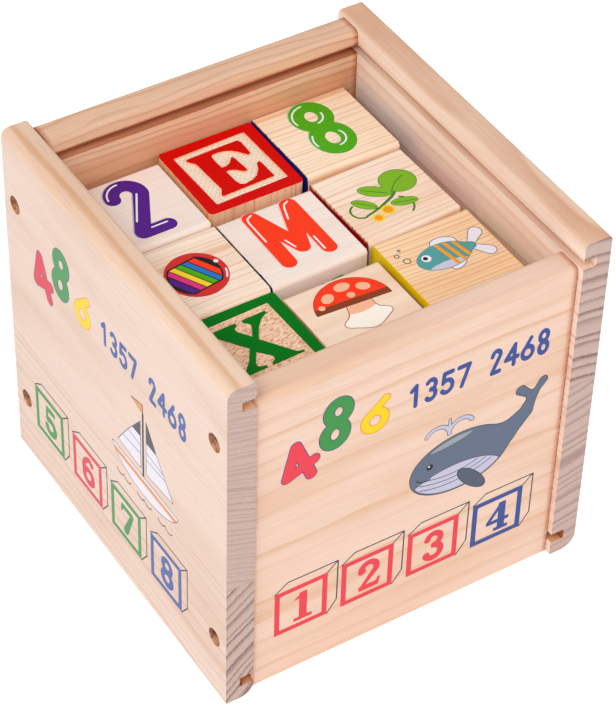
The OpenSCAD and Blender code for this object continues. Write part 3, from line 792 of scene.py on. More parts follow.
def march(shape, reach, step):
    """Points, triangles and distances of the part of a square where the shape is. On a side whose
    ends have distances a and b of unlike sign, the outline crosses at the share a / (a - b)."""
    rough = np.arange(-reach, reach + ROUGH_STEP, ROUGH_STEP)
    u, v = np.meshgrid(rough, rough)
    near = shape(u, v) < NEAR
    low, high = ([c[near].min() - ROUGH_STEP, c[near].max() + ROUGH_STEP] for c in (u, v))
    u, v = np.meshgrid(np.arange(*low, step), np.arange(*high, step))
    value = shape(u, v).ravel()
    value[np.abs(value) < SNAP * step] = -SNAP * step
    points = np.column_stack([u.ravel(), v.ravel()])
    grid = np.arange(u.size).reshape(u.shape)
    a, b, c, d = grid[:-1, :-1], grid[:-1, 1:], grid[1:, 1:], grid[1:, :-1]
    triangles = np.concatenate([np.stack([a, b, c], -1).reshape(-1, 3),
                                np.stack([a, c, d], -1).reshape(-1, 3)])
    inside = value[triangles] < 0
    count = inside.sum(1)

    def lone_first(chosen, lone):
        """The chosen triangles, each turned so that its lone corner comes first."""
        order = (np.argmax(lone[chosen], 1)[:, None] + np.arange(3)) % 3
        return np.take_along_axis(triangles[chosen], order, 1)

    one, two = lone_first(count == 1, inside), lone_first(count == 2, ~inside)
    sides = np.sort(np.concatenate([one[:, [0, 1]], one[:, [0, 2]], two[:, [0, 1]], two[:, [0, 2]]]), 1)
    keys, number = np.unique(sides[:, 0] * len(points) + sides[:, 1], return_inverse=True)
    p, q = keys // len(points), keys % len(points)
    share = (value[p] / (value[p] - value[q]))[:, None]
    number = number.ravel() + len(points)
    points = np.concatenate([points, points[p] + share * (points[q] - points[p])])
    value = np.concatenate([value, np.zeros(len(keys))])
    one_b, one_c, two_b, two_c = np.split(number, np.cumsum([len(one), len(one), len(two)]))
    faces = np.concatenate([triangles[count == 3], np.column_stack([one[:, 0], one_b, one_c]),
                            np.column_stack([two_b, two[:, 1], two[:, 2]]),
                            np.column_stack([two_b, two[:, 2], two_c])])
    used, faces = np.unique(faces, return_inverse=True)
    return points[used], faces.reshape(-1, 3), value[used]


print("a disc 10 mm wide:", len(march(oval(0, 0, 5), 10, 0.5)[1]), "triangles")


# %% [markdown]
# A film takes the marched shape twice: a top that stands a little proud of the wood, and a sunk
# copy under it. A rim along the outline joins the two, so that the film is a closed, thin solid.
# One material serves every print, because each corner carries its ink, its outline's ink and its
# distance to the outline as attributes.

# %% Films of ink
class Film:
    """Layers of ink on the faces of one body, gathered into one mesh. Attributes carry a layer's
    colours and distances: ink and line are its fill and outline, edge is the way in from the
    outline in mm."""
    THICK, SUNK, RISE = 0.02, 0.05, 0.008

    def __init__(self, reach, coarse=1.0):
        self.parts, self.count = [], 0
        self.reach, self.coarse = reach, coarse

    def layer(self, face, level, shape, ink, line=None, line_width=0.0, step=0.45):
        """Adds one layer. face is its origin, u, v and outward directions in mm; level says how
        many layers lie under it. An ink is a colour or a name in INKS."""
        ink, line = (INKS[c] if isinstance(c, str) else c for c in (ink, line))
        flat, faces, value = march(shape, self.reach, step * self.coarse)
        origin, across, up, out = face
        n = len(flat)
        plane = origin + flat[:, :1] * across + flat[:, 1:] * up
        top = self.THICK + self.RISE * level
        points = np.concatenate([plane + top * out, plane - self.SUNK * out])
        # A side that no neighbour runs along the other way lies on the rim
        directed = np.concatenate([faces[:, [0, 1]], faces[:, [1, 2]], faces[:, [2, 0]]])
        backward = directed[:, 1] * n + directed[:, 0]
        rim = directed[~np.isin(directed[:, 0] * n + directed[:, 1], backward)]
        a, b = rim[:, 0], rim[:, 1]
        faces = np.concatenate([faces, faces[:, ::-1] + n, np.column_stack([b, a, a + n]),
                                np.column_stack([b, a + n, b + n])])
        edge = -value - line_width if line else np.full(n, 1.0)
        colours = [np.tile(np.array(c, np.float32), (2 * n, 1)) for c in (ink, line or ink)]
        self.parts.append((points, faces + self.count, *colours, np.tile(edge, 2)))
        self.count += 2 * n

    def build(self, name, body):
        """The mesh object of all layers, riding on a body."""
        points, faces, ink, line, edge = (np.concatenate(p) for p in zip(*self.parts))
        mesh = bpy.data.meshes.new(name)
        mesh.vertices.add(len(points))
        mesh.vertices.foreach_set("co", (points * MM).astype(np.float32).ravel())
        mesh.loops.add(faces.size)
        mesh.loops.foreach_set("vertex_index", faces.astype(np.int32).ravel())
        mesh.polygons.add(len(faces))
        mesh.polygons.foreach_set("loop_start", np.arange(0, faces.size, 3, dtype=np.int32))
        for key, colour in (("ink", ink), ("line", line)):
            layer = mesh.attributes.new(key, "FLOAT_COLOR", "POINT")
            layer.data.foreach_set("color", colour.astype(np.float32).ravel())
        mesh.attributes.new("edge", "FLOAT", "POINT").data.foreach_set("value", edge.astype(np.float32))
        mesh.update(calc_edges=True)
        mesh.validate()
        film = bpy.data.objects.new(name, mesh)
        bpy.context.scene.collection.objects.link(film)
        film.data.materials.append(INK)
        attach(film, body)
        return film


print("a film stands", Film.THICK, "mm proud, and", Film.RISE, "mm more for each layer under it")


# %% Printing ink
def ink_material():
    """Printing ink: fill and outline from the film's attributes, a little mottled, and glossier
    than the wood."""
    material, patch, shader = new_material("printing_ink")
    read = {k: patch.node("Attribute", attribute_name=k).outputs for k in ("ink", "line", "edge")}
    fill = patch.step(read["edge"]["Fac"], -0.05, 0.05)
    colour = patch.blend(fill, read["line"]["Color"], read["ink"]["Color"])
    mottle = patch.noise(patch.millimetres(), (1.3,) * 3, 3.0, 0.6)
    patch.feed(shader, {"Base Color": patch.tint(colour, patch.scaled(mottle, 0.16, 0.92)),
                        "Roughness": patch.scaled(mottle, 0.15, 0.36),
                        "Specular IOR Level": INK_GLOSS,
                        "Normal": patch.bump(mottle, 0.25, 0.1 * MM)})
    return material


INK = ink_material()
INKS = palette("violet lime orange cherry sky pink amber",
               (84, 24, 140), (78, 172, 14), (255, 56, 14), (214, 44, 40), (30, 120, 200),
               (226, 50, 130), (244, 156, 30))
INKS |= palette("teal leaf moss brown cream white black lemon navy",
                (84, 158, 160), (126, 186, 34), (70, 130, 30), (136, 60, 22), (255, 246, 234),
                (238, 234, 244), (30, 22, 24), (250, 216, 40), (60, 78, 152))
INKS |= palette("grass slate mist peach line wine",
                (60, 150, 70), (72, 84, 104), (204, 202, 222), (250, 186, 150), (56, 58, 70),
                (100, 40, 60))
print("ink:", len(INKS), "colours")

# %% [markdown]
# Puffy letters and digits are round-ended strokes. Each sign is a short list: "L" is a path
# through points, "A" an arc with a centre, a radius and two angles, and "O" an oval ring, all in
# heights of the sign. Thin pale strokes beside the same lines, up and to the left, make them look
# blown up.

# %% Strokes of the puffy signs
RING = ("A", 0, 0, .35, 0, 360)
BOWL = ("A", .02, .18, .19, -90, 90)
STEM = ("L", -.2, .37, -.2, -.37)
SIGNS = {
    "A": [("L", -.27, -.37, 0, .37, .27, -.37), ("L", -.15, -.12, .15, -.12)],
    "B": [("L", .02, .37, -.2, .37, -.2, -.37, .04, -.37), BOWL, ("L", -.2, 0, .04, 0),
          ("A", .04, -.185, .185, -90, 90)],
    "C": [("A", .05, 0, .35, 50, 310)],
    "D": [("L", -.05, .37, -.2, .37, -.2, -.37, -.05, -.37), ("A", -.05, 0, .37, -90, 90)],
    "E": [("L", .2, .37, -.2, .37, -.2, -.37, .2, -.37), ("L", -.2, 0, .13, 0)],
    "F": [("L", .2, .37, -.2, .37, -.2, -.37), ("L", -.2, 0, .13, 0)],
    "G": [("A", 0, 0, .35, 45, 330), ("L", .3, -.17, .3, -.03, .08, -.03)],
    "H": [STEM, ("L", .2, .37, .2, -.37), ("L", -.2, 0, .2, 0)],
    "I": [("L", 0, .37, 0, -.37)],
    "J": [("L", .17, .37, .17, -.17), ("A", -.03, -.17, .2, 180, 360)],
    "K": [STEM, ("L", .22, .37, -.2, -.03), ("L", -.05, .1, .24, -.37)],
    "L": [("L", -.18, .37, -.18, -.37, .2, -.37)],
    "M": [("L", -.26, .41, -.265, -.42), ("L", -.24, .41, 0, -.27), ("L", .22, .41, 0, -.27),
          ("L", .245, .41, .25, -.42)],
    "N": [STEM, ("L", -.2, .37, .2, -.37), ("L", .2, .37, .2, -.37)],
    "O": [RING], "Q": [RING, ("L", .1, -.14, .32, -.4)],
    "P": [("L", .02, .37, -.2, .37, -.2, -.37), BOWL, ("L", .02, -.01, -.2, -.01)],
    "R": [("L", .02, .37, -.2, .37, -.2, -.37), BOWL, ("L", .02, -.01, -.2, -.01),
          ("L", 0, -.03, .22, -.37)],
    "S": [("A", 0, .185, .185, 30, 270), ("A", 0, -.185, .185, -150, 90)],
    "T": [("L", -.27, .37, .27, .37), ("L", 0, .37, 0, -.37)],
    "U": [("L", -.22, .37, -.22, -.15), ("A", 0, -.15, .22, 180, 360), ("L", .22, .37, .22, -.15)],
    "V": [("L", -.25, .37, 0, -.37), ("L", .25, .37, 0, -.37)],
    "W": [("L", -.34, .37, -.18, -.37), ("L", 0, .2, -.18, -.37), ("L", 0, .2, .18, -.37),
          ("L", .34, .37, .18, -.37)],
    "X": [("L", -.24, .37, .24, -.37), ("L", .24, .37, -.24, -.37)],
    "Y": [("L", -.24, .37, 0, 0), ("L", .24, .37, 0, 0), ("L", 0, 0, 0, -.37)],
    "Z": [("L", -.23, .37, .23, .37, -.23, -.37, .23, -.37)],
    "0": [("A", 0, .15, .21, 0, 180), ("A", 0, -.15, .21, 180, 360), ("L", -.21, .15, -.21, -.15),
          ("L", .21, .15, .21, -.15)],
    "1": [("L", -.13, .23, .05, .37), ("L", .05, .37, .05, -.37)],
    "2": [("A", 0, .24, .165, -12, 180), ("L", .16, .2, -.14, -.38), ("L", -.14, -.4, .17, -.4)],
    "3": [("A", -.01, .185, .185, -90, 145), ("A", -.01, -.175, .195, -145, 90)],
    "4": [("L", .1, .37, .1, -.37), ("L", .1, .37, -.25, -.12), ("L", -.25, -.12, .25, -.12)],
    "5": [("L", .19, .37, -.15, .37), ("L", -.15, .37, -.18, .03), ("A", -.02, -.13, .23, -145, 128)],
    "6": [("A", 0, -.15, .22, 0, 360), ("L", .1, .37, -.19, -.05)],
    "7": [("L", -.22, .37, .22, .37), ("L", .22, .37, -.06, -.37)],
    "8": [("O", -.012, .233, .168, .187), ("O", .002, -.21, .174, .205)],
    "9": [("A", 0, .15, .22, 0, 360), ("L", .19, .06, -.06, -.37)],
}
# Highlights listed one by one for the signs that lie on top
GLINTS = {
    "M": [("L", -.306, -.01, -.306, .36, -.29, .42, -.22, .455),
          ("L", .105, .2, .165, .385, .195, .435, .25, .46), ("L", -.113, -.09, -.07, -.24),
          ("L", .195, -.19, .195, -.42)],
    "2": [("A", 0, .24, .213, 92, 176), ("L", .111, .21, -.115, -.2), ("L", -.02, -.36, .17, -.358)],
    "8": [("A", -.012, .233, .222, 92, 193), ("A", -.012, .233, .135, -85, 5),
          ("A", .002, -.21, .235, 145, 193), ("A", .002, -.21, .15, -88, 30)],
}
print(len(SIGNS), "signs")


# %% Puffy signs
def stroke(kind, *numbers, half):
    """One stroke of a sign: a path, an arc, or an oval ring."""
    if kind == "L":
        return rod(np.reshape(numbers, (-1, 2)), half)
    if kind == "A":
        return bow(*numbers, half)
    u, v, half_u, half_v = numbers
    return less(oval(u, v, half_u + half, half_v + half), oval(u, v, half_u - half, half_v - half))


def sign(name, half):
    """The union of a sign's strokes, in heights of the sign."""
    return either(*[stroke(*s, half=half) for s in SIGNS[name]])


def highlights(name, half):
    """Thin strokes along the upper left of a sign's strokes. A straight one is moved square to
    itself; an arc is drawn again with a larger radius where it faces up and left, and with a
    smaller one where its far side does."""
    thin, aside = half * 0.12, half * 0.5
    if name in GLINTS:
        return either(*[stroke(*s, half=thin) for s in GLINTS[name]])
    lines = []
    for kind, *numbers in SIGNS[name]:
        if kind == "L":
            points = np.reshape(numbers, (-1, 2))
            for a, b in zip(points[:-1], points[1:]):
                length = math.hypot(*(b - a))
                square = np.array([a[1] - b[1], b[0] - a[0]]) / length * aside
                if square @ (-0.8, 0.6) < 0:
                    square = -square
                if length > 0.28:
                    last = 0.45 if length > 0.6 else 0.75
                    lines.append(rod([a + (b - a) * t + square for t in (0.05, last)], thin))
        else:
            u0, v0, radius, start, end = numbers
            for low, high, r in ((max(start + 8, 95), min(end - 8, 195), radius + aside),
                                 (max(start + 8, -75), min(end - 8, 5), radius - aside)):
                if high - low > 25:
                    lines.append(bow(u0, v0, r, low, high, thin))
    return either(*lines)


def shade(ink, amount):
    """An ink mixed with white above 0 or with black below it."""
    return tuple(c * (1 - abs(amount)) + max(amount, 0) for c in ink[:3]) + (1.0,)


def puffy(film, face, name, ink, height, u=0.0, v=0.0, turn=0.0, *, half):
    """A puffy sign: a pale copy a little up and left, the sign itself, and its highlights."""
    place = {"turn": turn, "size": height}
    pale = placed(sign(name, half + 0.003), u - 0.009 * height, v + 0.006 * height, **place)
    film.layer(face, 0, pale, shade(ink, 0.45), step=0.4)
    film.layer(face, 1, placed(sign(name, half), u, v, **place), ink, shade(ink, -0.25), 0.15, step=0.4)
    film.layer(face, 2, placed(highlights(name, half), u, v, **place), shade(ink, 0.86), step=0.2)


print("signs with highlights chosen by hand:", list(GLINTS))

# %% [markdown]
# The pictures are plain things of everyday life, each a few shapes: a toadstool, a sprig, a
# fish, a ball and so on, with the scale and the bright colours that such prints have. Each
# function adds its layers to a film and is drawn for a face 35 mm wide.

# %% Pictures on the blocks that show
def toadstool(film, face):
    """A broad foot, gills over it, and an oval cap, cut off below, with a dark rim and spots."""
    foot = melt(2.0, rod([(1.5, 0), (0.5, -8)], 4.2, 5.4), oval(0.5, -8.6, 8.6, 3.2))
    film.layer(face, 0, foot, "cream", "brown", 0.25)
    gills = both(grown(foot, -0.25), oval(0.8, -1.2, 8, 4.4))
    film.layer(face, 0.5, gills, "peach", step=0.35)
    cap = both(oval(0, -1.5, 13, 12), slab(0, 7, 20, 8.6, 1, -4))
    film.layer(face, 1, cap, "orange", "wine", 0.18)
    film.layer(face, 2, both(grown(cap, -0.15), slab(0, -1.2, 20, 2.2, 0, -4)), "brown")
    spots = [oval(-6, 4.6, 2.4, 1.8, 30), oval(0.6, 7, 2.7, 1.9), oval(6.6, 4.2, 2.3, 1.7, -30),
             oval(1.2, 2.6, 1.3), oval(-9.8, 1.8, 1.1)]
    film.layer(face, 3, either(*spots), "peach", step=0.35)


def sprig(film, face):
    """Round leaves on a stalk that leans to the left, with two curled tendrils and a pair of berries."""
    curls = either(bow(-12.4, -5.4, 3.4, 110, 270, 0.35), bow(-0.4, -9.6, 4.6, 300, 420, 0.35))
    film.layer(face, 0, curls, "moss", step=0.2)
    stalk = rod([(6, 0), (0, -4.5), (-6, -7), (-12, -8.5)], 0.6, 0.4)
    film.layer(face, 0, stalk, "moss", step=0.25)
    leaves = either(oval(6, 1.2, 6.3, 5.6, -20), oval(-3.4, 0.4, 5.6, 2.6, -38),
                    oval(2.2, -8.4, 4.6, 2.0, -15), oval(-9.8, -3.4, 4.4, 2.0, -48))
    film.layer(face, 1, leaves, "leaf", "moss", 0.22, step=0.35)
    veins = either(bow(12, -10, 13, 105, 145, 0.18), rod([(-0.2, -2.4), (-6.8, 3)], 0.18),
                   rod([(5.4, -9.4), (-1.2, -7.5)], 0.18), rod([(-7.2, -6.2), (-12, -0.8)], 0.18))
    film.layer(face, 2, veins, "moss", step=0.16)
    film.layer(face, 2, either(oval(-4.6, -9.2, 2.3), oval(-9.4, -11, 2.0)), "amber", "lemon",
               0.7, step=0.3)


def fish(film, face):
    """A striped fish with a forked tail, a pale belly and three bubbles before its mouth."""
    fins = either(rod([(8, 0), (13, 4.6)], 1.1, 2.4), rod([(8, 0), (12.4, -4.8)], 1.1, 2.2),
                  oval(1.4, 5.2, 4.6, 2.9, -12), oval(0.6, -5.2, 3.4, 1.9, 24))
    film.layer(face, 0, fins, "white", "slate", 0.25, step=0.3)
    body = melt(1.5, oval(-1.6, 0, 9.6, 5.8), rod([(5, 0), (8.4, 0)], 1.7))
    film.layer(face, 1, body, "teal", shade(INKS["teal"], -0.3), 0.16, step=0.35)
    belly = both(grown(body, -0.3), oval(-3, -7, 10, 4.6))
    film.layer(face, 2, belly, "mist", step=0.35)
    stripes = either(*[slab(u, 0, 0.65, 9, 0, 10) for u in (5.2, 2.4, -0.4)])
    film.layer(face, 3, both(grown(body, -0.2), stripes), "amber", step=0.3)
    film.layer(face, 3, oval(-7.2, 1.6, 1.6), "white", step=0.25)
    film.layer(face, 4, oval(-7.5, 1.7, 0.8), "black", step=0.2)
    bubbles = either(oval(-13, 3.6, 1.3), oval(-14.6, 7, 0.9), oval(-12.6, 9, 0.6))
    film.layer(face, 0, less(bubbles, grown(bubbles, -0.32)), "slate", step=0.16)


def ball(film, face):
    """A ball with a band of rainbow stripes across it."""
    film.layer(face, 0, oval(1, -1, 10.2), "cherry")
    window = both(oval(0.4, -1, 8.2), slab(0, -1, 12, 6.4, 2, 8))
    film.layer(face, 1, grown(window, 0.6), "black", step=0.4)
    for i, ink in enumerate(["violet", "pink", "lemon", "lime", "sky", "orange"]):
        stripe = slab((i - 2.5) * 2.6, -1, 1.31, 20, 0, 28)
        film.layer(face, 2, both(window, stripe), ink, step=0.35)
    film.layer(face, 2, either(oval(9.4, 1.6, 0.8), bow(1, -1, 9.4, -35, -12, 0.3)), "white", step=0.2)


print("drawn: a toadstool, a sprig, a fish and a ball")


# %% Pictures on the other faces
def star(film, face):
    """Five points: a path whose radius swings between long and short."""
    angle = np.radians(90 + 36 * np.arange(10))
    radius = np.where(np.arange(10) % 2, 4.9, 11.5)
    path = np.column_stack([radius * np.cos(angle), radius * np.sin(angle)])
    film.layer(face, 0, grown(polygon(path), 0.9), "lemon", "amber", 0.8)


def flower(film, face):
    """Five oval petals round a heart, on a stalk with one leaf."""
    film.layer(face, 0, rod([(0, -2), (0.8, -8), (0, -12)], 0.6), "moss", step=0.25)
    film.layer(face, 0, oval(4.2, -8.6, 3.6, 1.5, 32), "grass", "moss", 0.2, step=0.3)
    petals = [oval(6 * math.cos(t), 4 + 6 * math.sin(t), 4.6, 3.2, math.degrees(t))
              for t in np.radians(18 + 72 * np.arange(5))]
    film.layer(face, 1, either(*petals), "pink", "wine", 0.2)
    film.layer(face, 2, oval(0, 4, 3), "lemon", "amber", 0.35, step=0.3)


def apple(film, face):
    """Two leaning ovals melted together, with a stalk, a leaf and a pale glint."""
    film.layer(face, 0, rod([(0, 4), (0.8, 10.4)], 0.6), "brown", step=0.25)
    body = melt(2.5, oval(-3.8, -1, 6.4, 8, 8), oval(3.8, -1, 6.4, 8, -8))
    film.layer(face, 1, body, "cherry", "wine", 0.2)
    film.layer(face, 1, oval(4.8, 9.2, 4.2, 1.8, 22), "leaf", "moss", 0.2, step=0.3)
    film.layer(face, 2, bow(-3, -0.5, 5.4, 125, 190, 0.45), shade(INKS["cherry"], 0.7), step=0.25)


def house(film, face):
    """A wall with a door and a window, a chimney and a roof with three corners."""
    film.layer(face, 0, slab(0, -4, 8.4, 6.6, 0.4), "peach", "brown", 0.22)
    film.layer(face, 1, slab(6, 6.4, 1.4, 3.6, 0.2), "brown", step=0.35)
    film.layer(face, 2, polygon([(-11, 2.2), (0, 11.4), (11, 2.2)]), "cherry", "wine", 0.22)
    film.layer(face, 1, slab(-3.4, -6.2, 2, 4.2, 0.4), "navy", "black", 0.2, step=0.35)
    film.layer(face, 1, slab(3.8, -3, 2.4, 2.4, 0.3), "lemon", "black", 0.25, step=0.35)


def tree(film, face):
    """Three round tufts melted together on a trunk that widens to its foot."""
    film.layer(face, 0, rod([(0, -1), (0, -11)], 1.1, 1.8), "brown", step=0.35)
    crown = melt(1.2, oval(-4.8, 0.4, 5), oval(4.8, 0.6, 4.8), oval(0, 6, 5.6))
    film.layer(face, 1, crown, "grass", "moss", 0.3)


def umbrella(film, face):
    """A disc's upper half with three scallops cut from it, over a hooked handle."""
    handle = either(rod([(0, 11), (0, -8)], 0.45), bow(2, -8, 2, 180, 340, 0.45))
    film.layer(face, 0, handle, "black", step=0.25)
    dome = less(oval(0, 0, 11.6), slab(0, -12, 20, 12), *[oval(u, -1.4, 3.6) for u in (-7.6, 0, 7.6)])
    film.layer(face, 1, dome, "sky", "navy", 0.25)
    film.layer(face, 2, both(grown(dome, -0.3), oval(0, 1, 3.6, 10.6)), "lemon", step=0.4)


def kite(film, face):
    """A sail with four corners and two fields of other colours, and a bent tail."""
    film.layer(face, 0, rod([(2, -6), (6, -8), (4, -10.4), (9.4, -12.8)], 0.3), "black", step=0.2)
    sail = polygon([(-2.5, 12.5), (6.5, 5), (2, -6.5), (-8.5, 2)])
    film.layer(face, 1, sail, "orange", "black", 0.2)
    for ink_name, path in (("sky", [(-2.5, 12.5), (6.5, 5), (-0.6, 3.6)]),
                           ("lemon", [(2, -6.5), (-8.5, 2), (-0.6, 3.6)])):
        film.layer(face, 2, both(grown(sail, -0.3), polygon(path)), ink_name, step=0.4)


PICTURES = [star, flower, apple, house, tree, umbrella, kite, fish, sprig, toadstool, ball]
print(len(PICTURES), "pictures")

# %% [markdown]
# A block has its raised letter on two faces and prints on the other four: its letter again, a
# digit and two pictures. The nine blocks on top lie as the photograph shows them, their prints
# upright to someone at the front.

# %% Prints on the blocks
FACES = {"top": ((1, 0, 0), (0, 1, 0)), "bottom": ((1, 0, 0), (0, -1, 0)),
         "front": ((1, 0, 0), (0, 0, 1)), "back": ((-1, 0, 0), (0, 0, 1)),
         "right": ((0, 1, 0), (0, 0, 1)), "left": ((0, -1, 0), (0, 0, 1))}
SIGN_INKS = ["violet", "orange", "lime", "sky", "cherry", "pink", "amber"]


def block_face(block, side):
    """Origin in the middle of a block's face, with its u, v and outward directions, in mm."""
    c, s = math.cos(block["turn"]), math.sin(block["turn"])
    turn = np.array([[c, -s, 0], [s, c, 0], [0, 0, 1]])
    across, up = (turn @ np.array(d, float) for d in FACES[side])
    out = np.cross(across, up)
    return block["centre"] + out * block["side"] / 2, across, up, out


# Signs on top: name, ink, height, place on the face in mm and turn
TOP_SIGNS = {"back_left": ("2", "violet", 29, 0.9, 0.7, 0),
             "middle_centre": ("M", "orange", 28.5, 0.9, 2.3, -0.5),
             "back_right": ("8", "lime", 28.5, 0.2, 1.6, 0)}
# Pictures on top, and how far they lie from the middle of their face, in mm
TOP_PICTURES = {"middle_left": (ball, 0, 0.5), "middle_right": (sprig, 1.5, 2.5),
                "front_centre": (toadstool, 0.5, 5.0), "front_right": (fish, 0.5, 1.5)}
# Signs on the other faces: height in mm. Strokes' half widths, in heights of the sign.
SIDE_HEIGHT, SIDE_HALF, TOP_HALF = 26, 0.1, 0.091
BLOCK_REACH = 18      # mm from the middle of a block's face
HIDDEN_COARSE = 1.6   # hidden blocks' films have a grid this much coarser


def print_block(block, number):
    """All films of one block, as one mesh."""
    on_top = block["layer"] == "top"
    film = Film(BLOCK_REACH, 1.0 if on_top else HIDDEN_COARSE)
    sides = ["left", "right", "front", "back"] if block["up"] else ["top", "bottom", "front", "back"]
    for i, side in enumerate(sides):
        face = block_face(block, side)
        if on_top and side == "top" and block["spot"] in TOP_SIGNS:
            name, ink, *place = TOP_SIGNS[block["spot"]]
            puffy(film, face, name, INKS[ink], *place, half=TOP_HALF)
        elif on_top and side == "top":
            picture, du, dv = TOP_PICTURES[block["spot"]]
            origin, across, up, out = face
            picture(film, (origin + du * across + dv * up, across, up, out))
        elif i < 2:
            name = (block["letter"], str(number % 10))[i]
            ink = INKS[SIGN_INKS[(number + 3 * i) % len(SIGN_INKS)]]
            puffy(film, face, name, ink, SIDE_HEIGHT, half=SIDE_HALF)
        else:
            PICTURES[(2 * number + i) % len(PICTURES)](film, face)
    return film.build("ink_" + block["node"], block["node"])


films = [print_block(block, number) for number, block in enumerate(BLOCKS)]
print(len(films), "films,", sum(len(f.data.polygons) for f in films), "triangles")

# %% [markdown]
# The two outer walls that show carry numbers, a row of drawn cubes and one large picture: a
# whale at the front and a sailing boat at the left. Three fat digits hop up and down, and plain
# numbers stand in a line. The left wall's inks are paler, as a thinner coat is.

# %% Drawn cubes
def cube_digit(name):
    """A digit with thick and thin strokes and small feet, 12.6 mm high."""
    thick, thin = 1.25, 0.55
    parts = {
        "1": [slab(0.2, 0, thick, 6), slab(0.2, -5.7, 3.2, thin), polygon([(-3, 3.6), (0, 6), (0, 4)])],
        "2": [bow(0, 2.9, 2.9, -25, 165, 1.0), oval(-2.6, 2.6, 1.3),
              rod([(2.7, 1.8), (-2.6, -4.8)], 1.1, 0.5), slab(0.2, -5.2, 3.6, 0.9, 0.3),
              rod([(3.4, -5), (3.9, -3.2)], 0.4)],
        "3": [bow(-0.2, 3.0, 2.6, -85, 150, 1.0), bow(-0.2, -2.7, 2.9, -150, 85, 1.05),
              oval(-2.6, 3.6, 1.1), oval(-2.8, -3.6, 1.2)],
        "4": [slab(1.4, 0, 1.2, 6), slab(1.4, -5.7, 2.6, thin), rod([(1.2, 5.6), (-3.8, -1.6)], 0.5),
              slab(0, -2, 4.2, 0.6)],
        "5": [slab(0.2, 5.1, 2.8, 0.9), rod([(-2.4, 5.2), (-2.7, 0.6)], 0.5),
              bow(-0.2, -2.2, 3.0, -150, 125, 1.1), oval(-2.8, -3.2, 1.2)],
        "6": [bow(0, -2.2, 2.9, 0, 360, 1.05), bow(2.6, 0.2, 5.8, 105, 190, 0.9), oval(2.2, 4.6, 1.1)],
        "7": [slab(0.2, 5.1, 3.4, 0.9), rod([(3.4, 5), (-0.8, -5.2)], 0.7, 1.3),
              rod([(-3, 5), (-3.4, 3)], 0.4)],
        "8": [bow(0, 3, 2.5, 0, 360, 0.95), bow(0, -2.6, 2.8, 0, 360, 1.05)],
    }
    return either(*parts[name])


def drawn_cube(film, face, name, ink, u, v):
    """A square border with a digit in it, and thin lines for the cube's far sides."""
    h, inner = 9.7, 7.8
    border = less(slab(u, v, h, h), slab(u, v, inner, inner))
    film.layer(face, 0, border, ink, step=0.4)
    film.layer(face, 0, placed(grown(cube_digit(name), 0.2), u + 0.6, v - 0.2), ink, step=0.3)
    lines = [rod([(u - h, v + h), (u - h + 4.7, v + h + 3.4), (u + h + 3.7, v + h + 3.3)], 0.23),
             rod([(u + h, v + h), (u + h + 3.7, v + h + 3.3), (u + h + 3.6, v - h + 5)], 0.23),
             rod([(u + h, v - h), (u + h + 3.6, v - h + 5)], 0.23)]
    film.layer(face, 0, either(*lines), "line", step=0.12)


print("a digit 4 is inside at its stem:", cube_digit("4")(1.4, 0.0) < 0)


# %% Fat digits and plain numbers
def narrow(shape, share):
    """A shape squeezed along u: its distance is read at u / share."""
    return lambda u, v: shape(u / share, v) * share


PLAIN_HEIGHT, PLAIN_PITCH = 11, 5.95      # mm, of the plain numbers


def numbers(film, face, inks, u, v):
    """Three fat digits that hop up and down, then a line of plain numbers."""
    line = inks["outline"]
    for name, ink, edge, du, dv, turn, height in (("4", "red", line, 8.9, 9.4, 22, 20.5),
                                                  ("8", "green", line, 22.2, 19.8, -8, 20.5),
                                                  ("6", "yellow", inks["orange"], 36.4, 16.6, -14, 16.2)):
        shape = placed(sign(name, 0.105), u + du, v + dv, turn, height)
        film.layer(face, 0, shape, inks[ink], edge, 0.3, step=0.3)
    for i, name in enumerate("1357 2468"):
        if name != " ":
            digit = narrow(placed(sign(name, 0.086), size=PLAIN_HEIGHT), 0.8)
            film.layer(face, 0, placed(digit, u + 49.9 + PLAIN_PITCH * i, v + 17.3), inks["blue"],
                       step=0.25)


print("plain numbers are", PLAIN_HEIGHT, "mm high and", PLAIN_PITCH, "mm apart")


# %% A whale and a sailing boat
def whale(film, face, inks, u, v):
    """A whale that blows: a long drop of a body, a pale belly, a tail and three jets."""
    at = lambda shape: placed(shape, u, v)
    tail = melt(1.5, rod([(14, 2), (20, 7), (22.5, 13)], 4.5, 1.8),
                rod([(22.5, 13), (17.5, 17.5)], 1.2, 2.0), rod([(22.5, 13), (26, 18)], 1.2, 1.8))
    trunk = oval(-4, -2, 19, 12.5)
    body = melt(4, trunk, tail)
    film.layer(face, 0, at(body), inks["grey"], "line", 0.25)
    belly = both(grown(trunk, -0.5), oval(-7, -16, 22, 13, 3))
    film.layer(face, 1, at(belly), inks["mist"], "slate", 0.25)
    folds = [both(grown(belly, -0.6), bow(-7, 24, r, 235, 300, 0.16)) for r in (30.5, 32.5, 34.5)]
    film.layer(face, 2, at(either(*folds)), "slate", step=0.14)
    fin = oval(1, -12.5, 8, 2.8, -48)
    film.layer(face, 3, at(fin), shade(inks["grey"], -0.3), "line", 0.25)
    shine = both(grown(body, -1.2), oval(-8, 7.8, 8, 1.2, 8))
    film.layer(face, 1, at(shine), shade(inks["grey"], 0.25), step=0.4)
    film.layer(face, 2, at(oval(-15.5, 0.5, 1.2)), "black", step=0.2)
    film.layer(face, 3, at(oval(-15.8, 0.9, 0.4)), "white", step=0.15)
    film.layer(face, 2, at(bow(-16.5, -0.5, 4.6, 215, 290, 0.22)), "line", step=0.15)
    jets = either(bow(-13.5, 12, 4.5, 20, 150, 0.9), bow(-4.5, 12, 4.5, 30, 160, 0.9),
                  rod([(-9, 12), (-9, 18)], 0.9, 0.6))
    film.layer(face, 0, at(jets), inks["mist"], "slate", 0.25, step=0.3)


